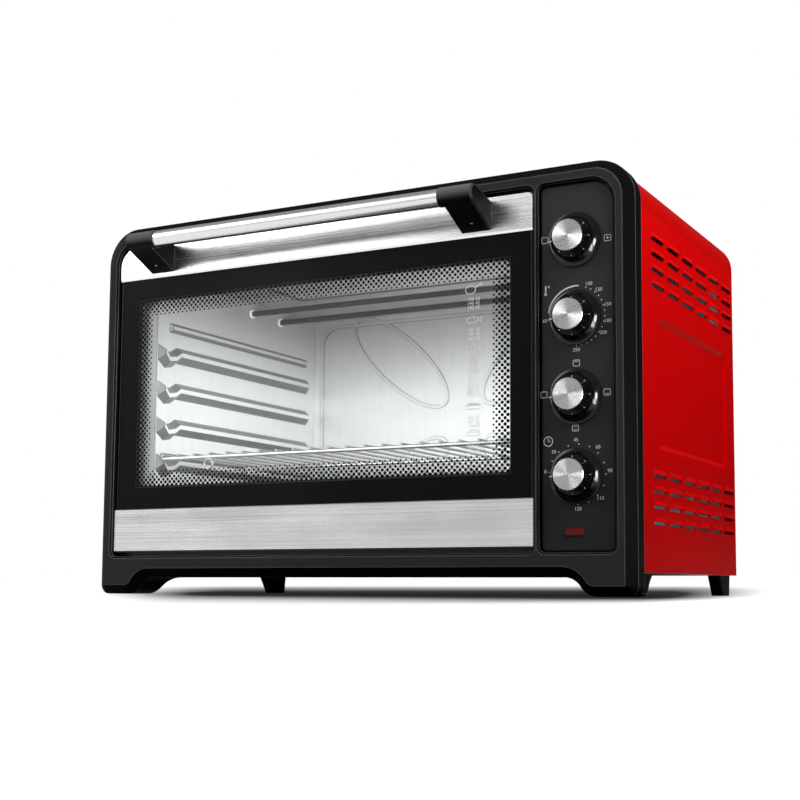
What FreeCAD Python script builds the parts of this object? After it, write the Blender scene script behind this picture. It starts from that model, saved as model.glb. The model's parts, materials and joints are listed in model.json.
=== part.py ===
import FreeCAD
import Part

import math
import os

# Countertop electric oven, in millimetres.
# While a piece is made, x is to the right, y is the depth behind the front frame's face, and z is height
# above the counter. place() then moves every piece by the same step, so that the origin is the centre of
# the footprint.

V = FreeCAD.Vector
X_AXIS = V(1, 0, 0)
Y_AXIS = V(0, 1, 0)
Z_AXIS = V(0, 0, 1)

# Whole body
BODY_WIDTH = 596.0
BODY_HEIGHT = 388.5
FRAME_CORNER_R = 37.0
SHELL_CORNER_R = 31.0
SHELL_REAR_Y = 334.0
SHEET = 0.8
CLEARANCE = 0.3
FACE_GAP = 0.05
OVERRUN = 5.0

# Front frame
FRAME_BEVEL = 9.3
FRAME_DEPTH = 24.5
FRAME_WALL = 3.0
MOUTH_DEPTH = 15.0
FACE_THICKNESS = 10.0
RAIL_CLEARANCE_Z = 17.0
FOOT_WIDTH = 38.0
FOOT_CORNER_R = 10.0
FOOT_SWEEP_R = 18.0
FOOT_REAR_Y = 40.0
FOOT_FLARE_Y = 58.0
FOOT_BLOCK_WIDTH = 66.0
LIP_BEVEL = 2.0

# Door opening and door
OPENING_MARGIN_LEFT = 19.0
OPENING_MARGIN_RIGHT = 17.5
OPENING_MARGIN_TOP = 18.5
OPENING_BOTTOM = 38.5
OPENING_CORNER_R = 22.0
OPENING_SMALL_R = 6.0
MULLION_WIDTH = 5.0
CONTROL_OPENING_WIDTH = 72.0
DOOR_GAP = 1.6
DOOR_BOTTOM_GAP = 4.7
DOOR_TOP_GAP = 3.5
DOOR_MIN_CORNER_R = 1.0
DOOR_FRONT_Y = 3.5
GASKET_THICKNESS = 0.7
GLASS_THICKNESS = 4.0
GLASS_INSET = 2.2
GLASS_LIFT = 11.0
TRIM_RETURN = 8.5
TOP_TRIM_HEIGHT = 35.2
BOTTOM_TRIM_HEIGHT = 43.8
TRIM_LIP = 2.4
DOOR_SHEET = 1.0
WINDOW_MARGIN_LEFT = 26.5
WINDOW_MARGIN_RIGHT = 23.4
WINDOW_MARGIN_BOTTOM = 24.0
WINDOW_MARGIN_TOP = 23.0
WINDOW_CORNER_R = 8.0
WINDOW_FLANGE = 3.0
GASKET_HEIGHT = 14.0

# Hinge, its pins and the two stays
HINGE_Y = 9.0
HINGE_LIFT = 5.0
PIN_R = 3.0
PIN_CLEARANCE = 0.05
PIN_REACH = 6.0
PIN_BITE = 4.5
CHEEK_R = 4.8
CHEEK_TOP = 12.0
STAY_R = 73.0
STAY_WIDTH = 6.0
STAY_THICKNESS = 2.0
STAY_INSET = 15.5
STAY_INSET_RIGHT = 4.0
STAY_SWEEP_DEG = 94.2
STAY_LUG = 4.0
STAY_LUG_DEG = 3.5
STAY_SLOT_GAP = 1.2

# Handle
TUBE_R = 8.3
TUBE_WALL = 1.2
TUBE_Y = -31.0
TUBE_DROP = 4.9
HANDLE_INSET = 41.0
BRACKET_WIDTH = 30.2
BRACKET_COLLAR = 5.0
BRACKET_SKIN = 0.8
BRACKET_BASE_LIFT = 4.5
BRACKET_BASE_DROP = 3.1
BRACKET_EDGE = 1.6
TUBE_SEAT = 10.0
HANDLE_SCREW_R = 2.4
HANDLE_SCREW_HEAD_R = 4.4
HANDLE_SCREW_HEAD = 2.4
HANDLE_SCREW_REACH = 12.0
HANDLE_SCREW_PITCH = 13.0
SCREW_HOLE_GAP = 0.3

# Control panel, knobs and controls
PANEL_Y = 5.0
PANEL_THICKNESS = 2.5
PANEL_WALL = 2.0
PANEL_BEVEL = 1.5
PANEL_REAR_Y = 13.5
PANEL_GAP = 0.8
KNOB_FROM_RIGHT = 38.0
KNOB_TOP_SHARE = 0.842
KNOB_PITCH_SHARE = 0.213
SKIRT_R = 24.7
SKIRT_RIM = 1.2
COLLAR_R = 17.6
GRIP_R = 15.0
SKIRT_HEIGHT = 8.0
KNOB_HEIGHT = 17.5
KNOB_GAP = 0.8
CAP_R = 14.2
CAP_THICKNESS = 1.2
CAP_EDGE = 0.4
HUB_R = 6.0
HUB_POCKET_R = 13.0
KNOB_FACE_WALL = 2.4
SHAFT_R = 3.0
SHAFT_CLEARANCE = 0.05
SHAFT_SEAT = 10.0
SHAFT_TAIL = 12.0
PANEL_HOLE_R = 4.2
SWITCH_WIDTH = 38.0
SWITCH_HEIGHT = 30.0
SWITCH_DEPTH = 26.0
SWITCH_BUSH_R = 7.0
SWITCH_BUSH = 6.0
TIMER_SIZE = 50.0
TIMER_DEPTH = 40.0
TIMER_EDGE_R = 4.0
BELL_R = 22.0
BELL_DEPTH = 12.0
BELL_WALL = 1.2
BELL_STEM_R = 2.5
BELL_STEM = 3.0
LENS_FROM_KNOB = 2.0
LENS_HEIGHT_SHARE = 0.055
LENS_WIDTH = 17.5
LENS_HEIGHT = 7.6
LENS_PROUD = 1.2
LENS_BEVEL = 0.7
LENS_STEM_WIDTH = 15.4
LENS_STEM_HEIGHT = 5.6
LENS_STEM_DEPTH = 7.0
LAMP_R = 2.6
LAMP_LENGTH = 14.0

# Cavity
CAVITY_MARGIN_LEFT = 63.0
CAVITY_MARGIN_RIGHT = 13.5
CAVITY_MARGIN_TOP = 48.5
CAVITY_MARGIN_REAR = 15.0
CAVITY_BOTTOM = 68.0
PLATE_THICKNESS = 1.0
PLATE_CORNER_R = 6.0
GUIDE_TOP_SHARE = 0.719
GUIDE_PITCH_SHARE = 0.143
GUIDE_COUNT = 4
GUIDE_FRONT_GAP = 1.5
GUIDE_FRONT_TAPER = 4.0
GUIDE_DEPTH = 8.0
GUIDE_SLOPE = 6.0
GUIDE_CREST = 5.0
GUIDE_REAR_GAP = 18.0
GUIDE_REAR_TAPER = 5.0
NOTCH_FRONT_Y = 28.0
NOTCH_REAR_Y = 39.0
NOTCH_RAMP_Y = 47.0
NOTCH_DROP_FRONT = 7.0
NOTCH_DROP_REAR = 5.0
RIB_SHARE = 0.8125
RIB_HEIGHT = 10.0
RIB_DEPTH = 3.0
RIB_SLOPE = 3.0
RIB_FRONT_Y = 35.0
PRESSING_DEPTH = 2.0
BACK_FRAME_SIDE = 11.0
BACK_FRAME_TOP = 7.0
BACK_FRAME_R = 26.0
BACK_FRAME_LINE = 4.0
PETAL_LENGTH_SHARE = 0.616
PETAL_WIDTH_SHARE = 0.225
PETAL_OFFSET_SHARE = 0.4275
PETAL_LINE = 4.0
PETAL_ANGLE_DEG = 41.0
PETAL_DEPTH = 1.4
CEILING_RIB_WIDTH = 8.0
CEILING_RIB_INSET = 55.0
CEILING_RIB_SETBACK = 79.0
CEILING_RIB_LENGTH = 110.0
FLOOR_RIM = 20.0
FLOOR_DISH = 3.0
DISH_SLOPE = 6.0

# Heaters
ROD_R = 3.3
ROD_TAIL = 22.0
UPPER_ROD_DROP = 14.0
LOWER_ROD_LIFT = 18.0
UPPER_ROD_SHARES = (0.557, 0.748)
LOWER_ROD_SHARES = (0.288, 0.706)
BUSHING_NECK_R = 5.0
BUSHING_R = 7.5
BUSHING_HEAD = 6.0
BUSHING_PROUD = 1.5

# Wire rack
RAIL_R = 2.5
BAR_R = 2.0
WIRE_R = 1.4
RACK_WELD = 0.3
RACK_FRONT_Y = 20.0
RACK_REAR_GAP = 19.0
RACK_RAIL_CREST_GAP = 0.5
WIRE_COUNT = 19
LOOP_OFFSET = 67.0
LOOP_R = 5.2
LOOP_WIRE_R = 1.1
LOOP_DROP = 7.0

# Fan
FAN_R = 62.0
FAN_BLADES = 6
FAN_HUB_R = 9.0
FAN_WIDTH = 12.0
FAN_GAP = 5.0
BLADE_THICKNESS = 1.0
BLADE_CHORD = 26.0
BLADE_PITCH_DEG = 35.0
FAN_SHAFT_R = 3.0
HOUSING_R = 74.0
HOUSING_DEPTH = 24.0
HOUSING_FLANGE_R = 82.0
MOTOR_R = 30.0
MOTOR_LENGTH = 34.0
MOTOR_NECK_R = 9.0
MOTOR_NECK = 4.0
GRILLE_SLOTS = 9
GRILLE_SLOT_WIDTH = 5.0
GRILLE_R = 56.0

# Red wrapper
SHELL_FRONT_Y = 18.0
SHELL_BOTTOM_Z = 21.5
SHELL_FLANGE = 12.0
LOUVRE_COLUMNS = 6
LOUVRE_ROWS = 4
LOUVRE_LENGTH_SHARE = 0.74
LOUVRE_HEIGHT = 2.6
LOUVRE_FIRST_Y = 61.5
LOUVRE_REAR_GAP = 9.0
UPPER_LOUVRE_DROP = 58.7
UPPER_LOUVRE_PITCH = 14.5
LOWER_LOUVRE_LIFT = 87.0
LOWER_LOUVRE_PITCH = 14.2
LOUVRE_HOOD = 2.4
LOUVRE_HOOD_RISE = 4.8
LOUVRE_LIP = 0.5
PRESSED_SETBACK = 11.5
PRESSED_REAR_GAP = 29.5
PRESSED_LOW_GAP = 25.5
PRESSED_HIGH_GAP = 27.0
PRESSED_DEPTH = 2.6
PRESSED_SLOPE = 4.5
PRESSED_CORNER_R = 15.0

# Back, bottom and rear feet
COVER_FLANGE = 8.0
COVER_MARGIN = 1.0
COVER_BOTTOM_LIFT = 2.0
VENT_COLUMNS = 14
VENT_WIDTH = 5.0
VENT_HEIGHT = 46.0
VENT_PITCH = 17.0
VENT_DROP = 80.7
VENT_LIFT = 76.0
INLET_FROM_SIDE = 62.7
INLET_LIFT = 28.0
INLET_R = 9.0
INLET_BORE_R = 4.6
INLET_FLANGE_R = 12.5
INLET_FLANGE = 3.0
INLET_NECK = 5.0
PAN_FLANGE = 12.0
PAN_SLOTS = 8
PAN_SLOT_WIDTH = 6.0
PAN_SLOT_LENGTH = 60.0
PAN_SLOT_PITCH = 30.0
REAR_FOOT_WIDTH = 13.0
REAR_FOOT_SETBACK = 50.0
REAR_FOOT_TOP_LENGTH = 41.0
REAR_FOOT_FRONT_SLOPE = 14.0
REAR_FOOT_REAR_SLOPE = 2.5
REAR_FOOT_EDGE_R = 2.0
REAR_FOOT_INSET = 4.5
FOOT_SCREW_R = 2.0
FOOT_SCREW_HEAD_R = 3.6
FOOT_SCREW_HEAD = 2.2
FOOT_RECESS = 6.0
FOOT_RECESS_R = 4.2
FOOT_SCREW_TIP = 4.0
COVER_SCREW_R = 1.8
COVER_SCREW_HEAD_R = 4.0
COVER_SCREW_HEAD = 2.2
COVER_SCREW_REACH = 6.0
COVER_SCREW_SHARE = 0.6

# Places worked out from the sizes above
HALF_WIDTH = BODY_WIDTH / 2
SHELL_HALF = HALF_WIDTH - FRAME_WALL - CLEARANCE
SHELL_TOP = BODY_HEIGHT - FRAME_WALL - CLEARANCE
INNER_CORNER_R = SHELL_CORNER_R + CLEARANCE + FRAME_WALL
COVER_REAR_Y = SHELL_REAR_Y + SHEET
BODY_REAR_Y = COVER_REAR_Y + COVER_SCREW_HEAD
OPENING_LEFT = OPENING_MARGIN_LEFT - HALF_WIDTH
OPENING_TOP = BODY_HEIGHT - OPENING_MARGIN_TOP
CONTROL_OPENING_RIGHT = HALF_WIDTH - OPENING_MARGIN_RIGHT
CONTROL_OPENING_LEFT = CONTROL_OPENING_RIGHT - CONTROL_OPENING_WIDTH
OPENING_RIGHT = CONTROL_OPENING_LEFT - MULLION_WIDTH
OPENING_HEIGHT = OPENING_TOP - OPENING_BOTTOM
DOOR_LEFT = OPENING_LEFT + DOOR_GAP
DOOR_RIGHT = OPENING_RIGHT - DOOR_GAP
DOOR_BOTTOM = OPENING_BOTTOM + DOOR_BOTTOM_GAP
DOOR_TOP = OPENING_TOP - DOOR_TOP_GAP
DOOR_CORNER_R = OPENING_CORNER_R - DOOR_GAP
DOOR_MID_X = (DOOR_LEFT + DOOR_RIGHT) / 2
GLASS_Y = DOOR_FRONT_Y + SHEET + GASKET_THICKNESS
GLASS_BOTTOM_Z = DOOR_BOTTOM + GLASS_LIFT
DOOR_SHEET_Y = GLASS_Y + GLASS_THICKNESS
DOOR_REAR_Y = DOOR_SHEET_Y + DOOR_SHEET
TOP_TRIM_BOTTOM_Z = DOOR_TOP - TOP_TRIM_HEIGHT
BOTTOM_TRIM_TOP_Z = DOOR_BOTTOM + BOTTOM_TRIM_HEIGHT
WINDOW_LEFT = DOOR_LEFT + WINDOW_MARGIN_LEFT
WINDOW_RIGHT = DOOR_RIGHT - WINDOW_MARGIN_RIGHT
WINDOW_BOTTOM = BOTTOM_TRIM_TOP_Z + WINDOW_MARGIN_BOTTOM
WINDOW_TOP = TOP_TRIM_BOTTOM_Z - WINDOW_MARGIN_TOP
HINGE_Z = DOOR_BOTTOM + HINGE_LIFT
HANDLE_HALF = (DOOR_RIGHT - DOOR_LEFT) / 2 - HANDLE_INSET
TUBE_Z = DOOR_TOP - TUBE_DROP
BRACKET_BASE_LOW_Z = TOP_TRIM_BOTTOM_Z + BRACKET_BASE_LIFT
BRACKET_BASE_HIGH_Z = DOOR_TOP - BRACKET_BASE_DROP
BRACKET_R = TUBE_R + BRACKET_SKIN
HANDLE_FRONT_Y = TUBE_Y - BRACKET_R
FRONT_SHIFT = -(HANDLE_FRONT_Y + BODY_REAR_Y) / 2
KNOB_X = CONTROL_OPENING_RIGHT - KNOB_FROM_RIGHT
KNOB_TOP_Z = OPENING_BOTTOM + OPENING_HEIGHT * KNOB_TOP_SHARE
KNOB_PITCH = OPENING_HEIGHT * KNOB_PITCH_SHARE
LENS_X = KNOB_X - LENS_FROM_KNOB
LENS_Z = OPENING_BOTTOM + OPENING_HEIGHT * LENS_HEIGHT_SHARE
PLATE_REAR_Y = MOUTH_DEPTH + PLATE_THICKNESS
CAVITY_LEFT = CAVITY_MARGIN_LEFT - HALF_WIDTH
CAVITY_RIGHT = OPENING_RIGHT - CAVITY_MARGIN_RIGHT
CAVITY_TOP = BODY_HEIGHT - CAVITY_MARGIN_TOP
CAVITY_BACK_Y = SHELL_REAR_Y - CAVITY_MARGIN_REAR
CAVITY_HEIGHT = CAVITY_TOP - CAVITY_BOTTOM
CAVITY_DEPTH = CAVITY_BACK_Y - PLATE_REAR_Y
CAVITY_MID_X = (CAVITY_LEFT + CAVITY_RIGHT) / 2
CAVITY_MID_Z = (CAVITY_BOTTOM + CAVITY_TOP) / 2
GUIDE_TOP_Z = CAVITY_BOTTOM + CAVITY_HEIGHT * GUIDE_TOP_SHARE
GUIDE_PITCH = CAVITY_HEIGHT * GUIDE_PITCH_SHARE
LOWEST_GUIDE_Z = GUIDE_TOP_Z - GUIDE_PITCH * (GUIDE_COUNT - 1)
GUIDE_FRONT_Y = PLATE_REAR_Y + GUIDE_FRONT_GAP
GUIDE_REAR_Y = CAVITY_BACK_Y - GUIDE_REAR_GAP
RIB_Z = CAVITY_BOTTOM + CAVITY_HEIGHT * RIB_SHARE
PETAL_LENGTH = CAVITY_HEIGHT * PETAL_LENGTH_SHARE
PETAL_WIDTH = CAVITY_HEIGHT * PETAL_WIDTH_SHARE
PETAL_OFFSET = CAVITY_HEIGHT * PETAL_OFFSET_SHARE
UPPER_ROD_Z = CAVITY_TOP - UPPER_ROD_DROP
LOWER_ROD_Z = CAVITY_BOTTOM + LOWER_ROD_LIFT
UPPER_ROD_YS = tuple(PLATE_REAR_Y + CAVITY_DEPTH * share for share in UPPER_ROD_SHARES)
LOWER_ROD_YS = tuple(PLATE_REAR_Y + CAVITY_DEPTH * share for share in LOWER_ROD_SHARES)
RACK_REAR_Y = CAVITY_BACK_Y - RACK_REAR_GAP
FAN_Y = (PLATE_REAR_Y + CAVITY_BACK_Y) / 2
FAN_Z = CAVITY_MID_Z
LOUVRE_RUN = SHELL_REAR_Y - LOUVRE_REAR_GAP - LOUVRE_FIRST_Y
LOUVRE_PITCH_Y = LOUVRE_RUN / (LOUVRE_COLUMNS - 1 + LOUVRE_LENGTH_SHARE)
LOUVRE_LENGTH = LOUVRE_PITCH_Y * LOUVRE_LENGTH_SHARE
UPPER_LOUVRE_Z = SHELL_TOP - UPPER_LOUVRE_DROP
LOWER_LOUVRE_Z = SHELL_BOTTOM_Z + LOWER_LOUVRE_LIFT
PRESSED_FRONT_Y = LOUVRE_FIRST_Y + PRESSED_SETBACK
PRESSED_REAR_Y = SHELL_REAR_Y - PRESSED_REAR_GAP
PRESSED_LOW_Z = LOWER_LOUVRE_Z + PRESSED_LOW_GAP
PRESSED_HIGH_Z = UPPER_LOUVRE_Z - UPPER_LOUVRE_PITCH * (LOUVRE_ROWS - 1) - PRESSED_HIGH_GAP
VENT_HIGH_Z = SHELL_TOP - VENT_DROP
VENT_LOW_Z = SHELL_BOTTOM_Z + VENT_LIFT
INLET_X = SHELL_HALF - INLET_FROM_SIDE
INLET_Z = SHELL_BOTTOM_Z + INLET_LIFT
REAR_FOOT_TOP_Y = SHELL_REAR_Y - REAR_FOOT_SETBACK
CONTROLS = ("convection", "temperature", "heater", "timer")


def place(shape):
    """Moves a finished piece from the building position to the part's own frame."""
    moved = shape.copy()
    moved.translate(V(0, FRONT_SHIFT, 0))
    return moved


def export(name, shape):
    place(shape).exportStep("parts/" + name + ".step")


def box(x0, x1, y0, y1, z0, z1):
    return Part.makeBox(x1 - x0, y1 - y0, z1 - z0, V(x0, y0, z0))


def rod(radius, start, direction, length):
    return Part.makeCylinder(radius, length, start, direction)


def fuse(pieces):
    whole = pieces[0]
    for piece in pieces[1:]:
        whole = whole.fuse(piece)
    return whole.removeSplitter()


def cut(shape, tools):
    return shape.cut(Part.Compound(tools)) if tools else shape


def arc_between(start, end, centre, radius):
    """A short arc from start to end about centre."""
    middle = (start + end) * 0.5 - centre
    middle.normalize()
    return Part.Arc(start, centre + middle * radius, end).toShape()


def rounded_wire(x0, x1, z0, z1, radii, y):
    """A rectangle in the plane at depth y. radii: bottom left, bottom right, top right, top left."""
    low_left, low_right, top_right, top_left = radii
    corners = (
        (V(x0, y, z0), low_left, V(0, 0, 1), V(1, 0, 0)),
        (V(x1, y, z0), low_right, V(-1, 0, 0), V(0, 0, 1)),
        (V(x1, y, z1), top_right, V(0, 0, -1), V(-1, 0, 0)),
        (V(x0, y, z1), top_left, V(1, 0, 0), V(0, 0, -1)),
    )
    edges = []
    ends = []
    for corner, radius, back, ahead in corners:
        start = corner + back * radius
        end = corner + ahead * radius
        ends.append((start, end))
        if radius > 0:
            edges.append(arc_between(start, end, corner + (back + ahead) * radius, radius))
    for index in range(len(ends)):
        here = ends[index][1]
        there = ends[(index + 1) % len(ends)][0]
        edges.append(Part.LineSegment(here, there).toShape())
    return Part.Wire(Part.sortEdges(edges)[0])


def prism(wire, depth):
    return Part.Face(wire).extrude(V(0, depth, 0))


def rounded_block(x0, x1, z0, z1, radii, y0, y1):
    return prism(rounded_wire(x0, x1, z0, z1, radii, y0), y1 - y0)


def yz_prism(points, x0, x1):
    wire = Part.makePolygon([V(x0, y, z) for y, z in points] + [V(x0, points[0][0], points[0][1])])
    return Part.Face(wire).extrude(V(x1 - x0, 0, 0))


def s_curve(low, high, radius):
    """Two tangent arcs that carry a level line up a step, as edges."""
    middle = (low + high) * 0.5
    first = arc_between(low, middle, low + V(0, 0, radius), radius)
    second = arc_between(middle, high, high - V(0, 0, radius), radius)
    return [first, second]


def frame_outline(y, shoulder=FRAME_CORNER_R):
    """The front frame seen from the front: round shoulders, and two feet under a raised rail."""
    foot_x = HALF_WIDTH - FOOT_WIDTH
    rail_x = foot_x - math.sqrt(RAIL_CLEARANCE_Z * (4 * FOOT_SWEEP_R - RAIL_CLEARANCE_Z))
    edges = [Part.LineSegment(V(-rail_x, y, RAIL_CLEARANCE_Z), V(rail_x, y, RAIL_CLEARANCE_Z)).toShape()]
    for side in (-1, 1):
        foot = V(side * foot_x, y, 0)
        rail = V(side * rail_x, y, RAIL_CLEARANCE_Z)
        edges += s_curve(foot, rail, FOOT_SWEEP_R)
        outer = V(side * (HALF_WIDTH - FOOT_CORNER_R), y, 0)
        edges.append(Part.LineSegment(foot, outer).toShape())
        low = V(side * HALF_WIDTH, y, FOOT_CORNER_R)
        edges.append(arc_between(outer, low, V(outer.x, y, FOOT_CORNER_R), FOOT_CORNER_R))
        high = V(side * HALF_WIDTH, y, BODY_HEIGHT - shoulder)
        edges.append(Part.LineSegment(low, high).toShape())
        top = V(side * (HALF_WIDTH - shoulder), y, BODY_HEIGHT)
        edges.append(arc_between(high, top, V(top.x, y, high.z), shoulder))
    left_top = V(-(HALF_WIDTH - shoulder), y, BODY_HEIGHT)
    edges.append(Part.LineSegment(left_top, V(-left_top.x, y, BODY_HEIGHT)).toShape())
    return Part.Wire(Part.sortEdges(edges)[0])


def opening_radii(extra):
    large = OPENING_CORNER_R + extra
    small = OPENING_SMALL_R + extra
    door = (small, small, small, large)
    control = (small, small, large, small)
    return door, control


def opening_cutters():
    """The two mouths in the face, each with a small bevel round its rim."""
    door_radii, control_radii = opening_radii(0)
    wide_door, wide_control = opening_radii(LIP_BEVEL)
    spans = (
        (OPENING_LEFT, OPENING_RIGHT, door_radii, wide_door),
        (CONTROL_OPENING_LEFT, CONTROL_OPENING_RIGHT, control_radii, wide_control),
    )
    cutters = []
    for left, right, radii, wide in spans:
        cutters.append(
            rounded_block(left, right, OPENING_BOTTOM, OPENING_TOP, radii, -OVERRUN, FRAME_DEPTH + OVERRUN)
        )
        rim = rounded_wire(
            left - LIP_BEVEL, right + LIP_BEVEL, OPENING_BOTTOM - LIP_BEVEL, OPENING_TOP + LIP_BEVEL, wide, 0
        )
        throat = rounded_wire(left, right, OPENING_BOTTOM, OPENING_TOP, radii, LIP_BEVEL)
        cutters.append(Part.makeLoft([rim, throat], True, True))
    return cutters


def foot_block(side):
    """The part of a front foot that runs back under the wrapper, with a swept rear."""
    top = SHELL_BOTTOM_Z - CLEARANCE
    sweep_z = top * 0.5
    profile = [
        Part.LineSegment(V(0, FACE_THICKNESS, 0), V(0, FOOT_REAR_Y, 0)).toShape(),
        Part.Arc(
            V(0, FOOT_REAR_Y, 0),
            V(0, (FOOT_REAR_Y * 2 + FOOT_FLARE_Y) / 3, sweep_z),
            V(0, FOOT_FLARE_Y, top),
        ).toShape(),
        Part.LineSegment(V(0, FOOT_FLARE_Y, top), V(0, FACE_THICKNESS, top)).toShape(),
        Part.LineSegment(V(0, FACE_THICKNESS, top), V(0, FACE_THICKNESS, 0)).toShape(),
    ]
    block = Part.Face(Part.Wire(profile)).extrude(V(side * (HALF_WIDTH - FRAME_WALL), 0, 0))
    outline = Part.Face(frame_outline(0)).extrude(V(0, FOOT_FLARE_Y + OVERRUN, 0))
    low = SHELL_HALF - FOOT_BLOCK_WIDTH
    keep_x = sorted((side * low, side * SHELL_HALF))
    keep = box(keep_x[0], keep_x[1], 0, FOOT_FLARE_Y + OVERRUN, 0, top)
    return block.common(outline).common(keep)


def front_frame():
    outer = prism(frame_outline(0), FRAME_DEPTH)
    rim = [e for e in outer.Edges if e.BoundBox.YMax < FACE_GAP]
    outer = outer.makeChamfer(FRAME_BEVEL, rim)
    inset = frame_outline(0, INNER_CORNER_R).makeOffset2D(-FRAME_WALL)
    inside = Part.Face(inset).extrude(V(0, FRAME_DEPTH + OVERRUN, 0))
    behind = inside.common(
        box(-BODY_WIDTH, BODY_WIDTH, MOUTH_DEPTH, FRAME_DEPTH + OVERRUN, 0, BODY_HEIGHT)
    )
    slab = inside.common(
        box(-BODY_WIDTH, BODY_WIDTH, FACE_THICKNESS, MOUTH_DEPTH + OVERRUN, 0, BODY_HEIGHT)
    )
    door_radii, control_radii = opening_radii(FRAME_WALL)
    walls = rounded_block(
        OPENING_LEFT - FRAME_WALL, CONTROL_OPENING_RIGHT + FRAME_WALL,
        OPENING_BOTTOM - FRAME_WALL, OPENING_TOP + FRAME_WALL,
        (door_radii[0], control_radii[1], control_radii[2], door_radii[3]), 0, MOUTH_DEPTH,
    )
    frame = outer.cut(behind).cut(slab.cut(walls))
    frame = cut(frame, opening_cutters())
    blocks = [foot_block(side) for side in (-1, 1)]
    frame = fuse([frame] + blocks)
    pins = [
        rod(PIN_R + PIN_CLEARANCE, V(OPENING_LEFT + OVERRUN, HINGE_Y, HINGE_Z), -X_AXIS, OVERRUN + PIN_BITE),
        rod(PIN_R + PIN_CLEARANCE, V(OPENING_RIGHT - OVERRUN, HINGE_Y, HINGE_Z), X_AXIS, OVERRUN + PIN_BITE),
    ]
    return cut(frame, pins)


def knob_centre(index):
    return KNOB_X, KNOB_TOP_Z - index * KNOB_PITCH


def control_panel():
    """A shallow tray that fills the smaller mouth, with the shaft holes and the lamp's window."""
    x0 = CONTROL_OPENING_LEFT + PANEL_GAP
    x1 = CONTROL_OPENING_RIGHT - PANEL_GAP
    z0 = OPENING_BOTTOM + PANEL_GAP
    z1 = OPENING_TOP - PANEL_GAP
    radii = opening_radii(-PANEL_GAP)[1]
    inner_radii = opening_radii(-PANEL_GAP - PANEL_WALL)[1]
    tray = rounded_block(x0, x1, z0, z1, radii, PANEL_Y, PANEL_REAR_Y)
    rim = [e for e in tray.Edges if e.BoundBox.YMax < PANEL_Y + FACE_GAP]
    tray = tray.makeChamfer(PANEL_BEVEL, rim)
    hollow = rounded_block(
        x0 + PANEL_WALL, x1 - PANEL_WALL, z0 + PANEL_WALL, z1 - PANEL_WALL, inner_radii,
        PANEL_Y + PANEL_THICKNESS, PANEL_REAR_Y + OVERRUN,
    )
    holes = []
    for index in range(len(CONTROLS)):
        x, z = knob_centre(index)
        holes.append(rod(PANEL_HOLE_R, V(x, PANEL_Y - OVERRUN, z), Y_AXIS, OVERRUN * 3))
    half_w = LENS_STEM_WIDTH / 2 + CLEARANCE
    half_h = LENS_STEM_HEIGHT / 2 + CLEARANCE
    holes.append(
        box(
            LENS_X - half_w, LENS_X + half_w, PANEL_Y - OVERRUN, PANEL_REAR_Y,
            LENS_Z - half_h, LENS_Z + half_h,
        )
    )
    return cut(tray.cut(hollow), holes)


def door_outline(inset, y, low=None, high=None):
    """The door's outline drawn in by inset, from the height low to the height high."""
    z0 = DOOR_BOTTOM + inset if low is None else low
    z1 = DOOR_TOP - inset if high is None else high
    small = max(OPENING_SMALL_R - DOOR_GAP - inset, DOOR_MIN_CORNER_R)
    large = DOOR_CORNER_R - inset
    top = (small, large) if high is None else (0, 0)
    return rounded_wire(DOOR_LEFT + inset, DOOR_RIGHT - inset, z0, z1, (0, 0, top[0], top[1]), y)


def handle_screw_places():
    places = []
    for side in (-1, 1):
        middle = DOOR_MID_X + side * (HANDLE_HALF - BRACKET_WIDTH / 2)
        base = (BRACKET_BASE_LOW_Z + BRACKET_BASE_HIGH_Z) / 2
        for step in (-0.5, 0.5):
            places.append((middle, base + step * HANDLE_SCREW_PITCH))
    return places


def screw_holes(y0, y1):
    radius = HANDLE_SCREW_R + SCREW_HOLE_GAP
    return [rod(radius, V(x, y0, z), Y_AXIS, y1 - y0) for x, z in handle_screw_places()]


def door_top_trim():
    """A brushed strip whose edge turns back over the top of the door, with a rolled lower lip."""
    low = TOP_TRIM_BOTTOM_Z + TRIM_LIP
    face = prism(door_outline(0, DOOR_FRONT_Y, low), SHEET)
    ring = prism(door_outline(0, DOOR_FRONT_Y, low), TRIM_RETURN)
    ring = ring.cut(prism(door_outline(SHEET, DOOR_FRONT_Y, low - OVERRUN), TRIM_RETURN))
    lip_points = (
        (DOOR_FRONT_Y, low), (DOOR_FRONT_Y + SHEET, low),
        (DOOR_FRONT_Y + SHEET + GASKET_THICKNESS - FACE_GAP, TOP_TRIM_BOTTOM_Z),
        (DOOR_FRONT_Y + GASKET_THICKNESS - FACE_GAP, TOP_TRIM_BOTTOM_Z),
    )
    lip = yz_prism(lip_points, DOOR_LEFT, DOOR_RIGHT)
    return cut(fuse([face, ring, lip]), screw_holes(0, TRIM_RETURN))


def door_bottom_trim():
    low = DOOR_BOTTOM + DOOR_SHEET + CLEARANCE
    face = box(DOOR_LEFT, DOOR_RIGHT, DOOR_FRONT_Y, DOOR_FRONT_Y + SHEET, low, BOTTOM_TRIM_TOP_Z)
    lip_points = (
        (DOOR_FRONT_Y, BOTTOM_TRIM_TOP_Z), (DOOR_FRONT_Y + SHEET, BOTTOM_TRIM_TOP_Z),
        (DOOR_FRONT_Y + SHEET + GASKET_THICKNESS - FACE_GAP, BOTTOM_TRIM_TOP_Z + SHEET),
        (DOOR_FRONT_Y + SHEET, BOTTOM_TRIM_TOP_Z + SHEET),
    )
    top_lip = yz_prism(lip_points, DOOR_LEFT, DOOR_RIGHT)
    foot = box(DOOR_LEFT, DOOR_RIGHT, DOOR_FRONT_Y, GLASS_Y, low, low + SHEET)
    return fuse([face, top_lip, foot])


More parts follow.
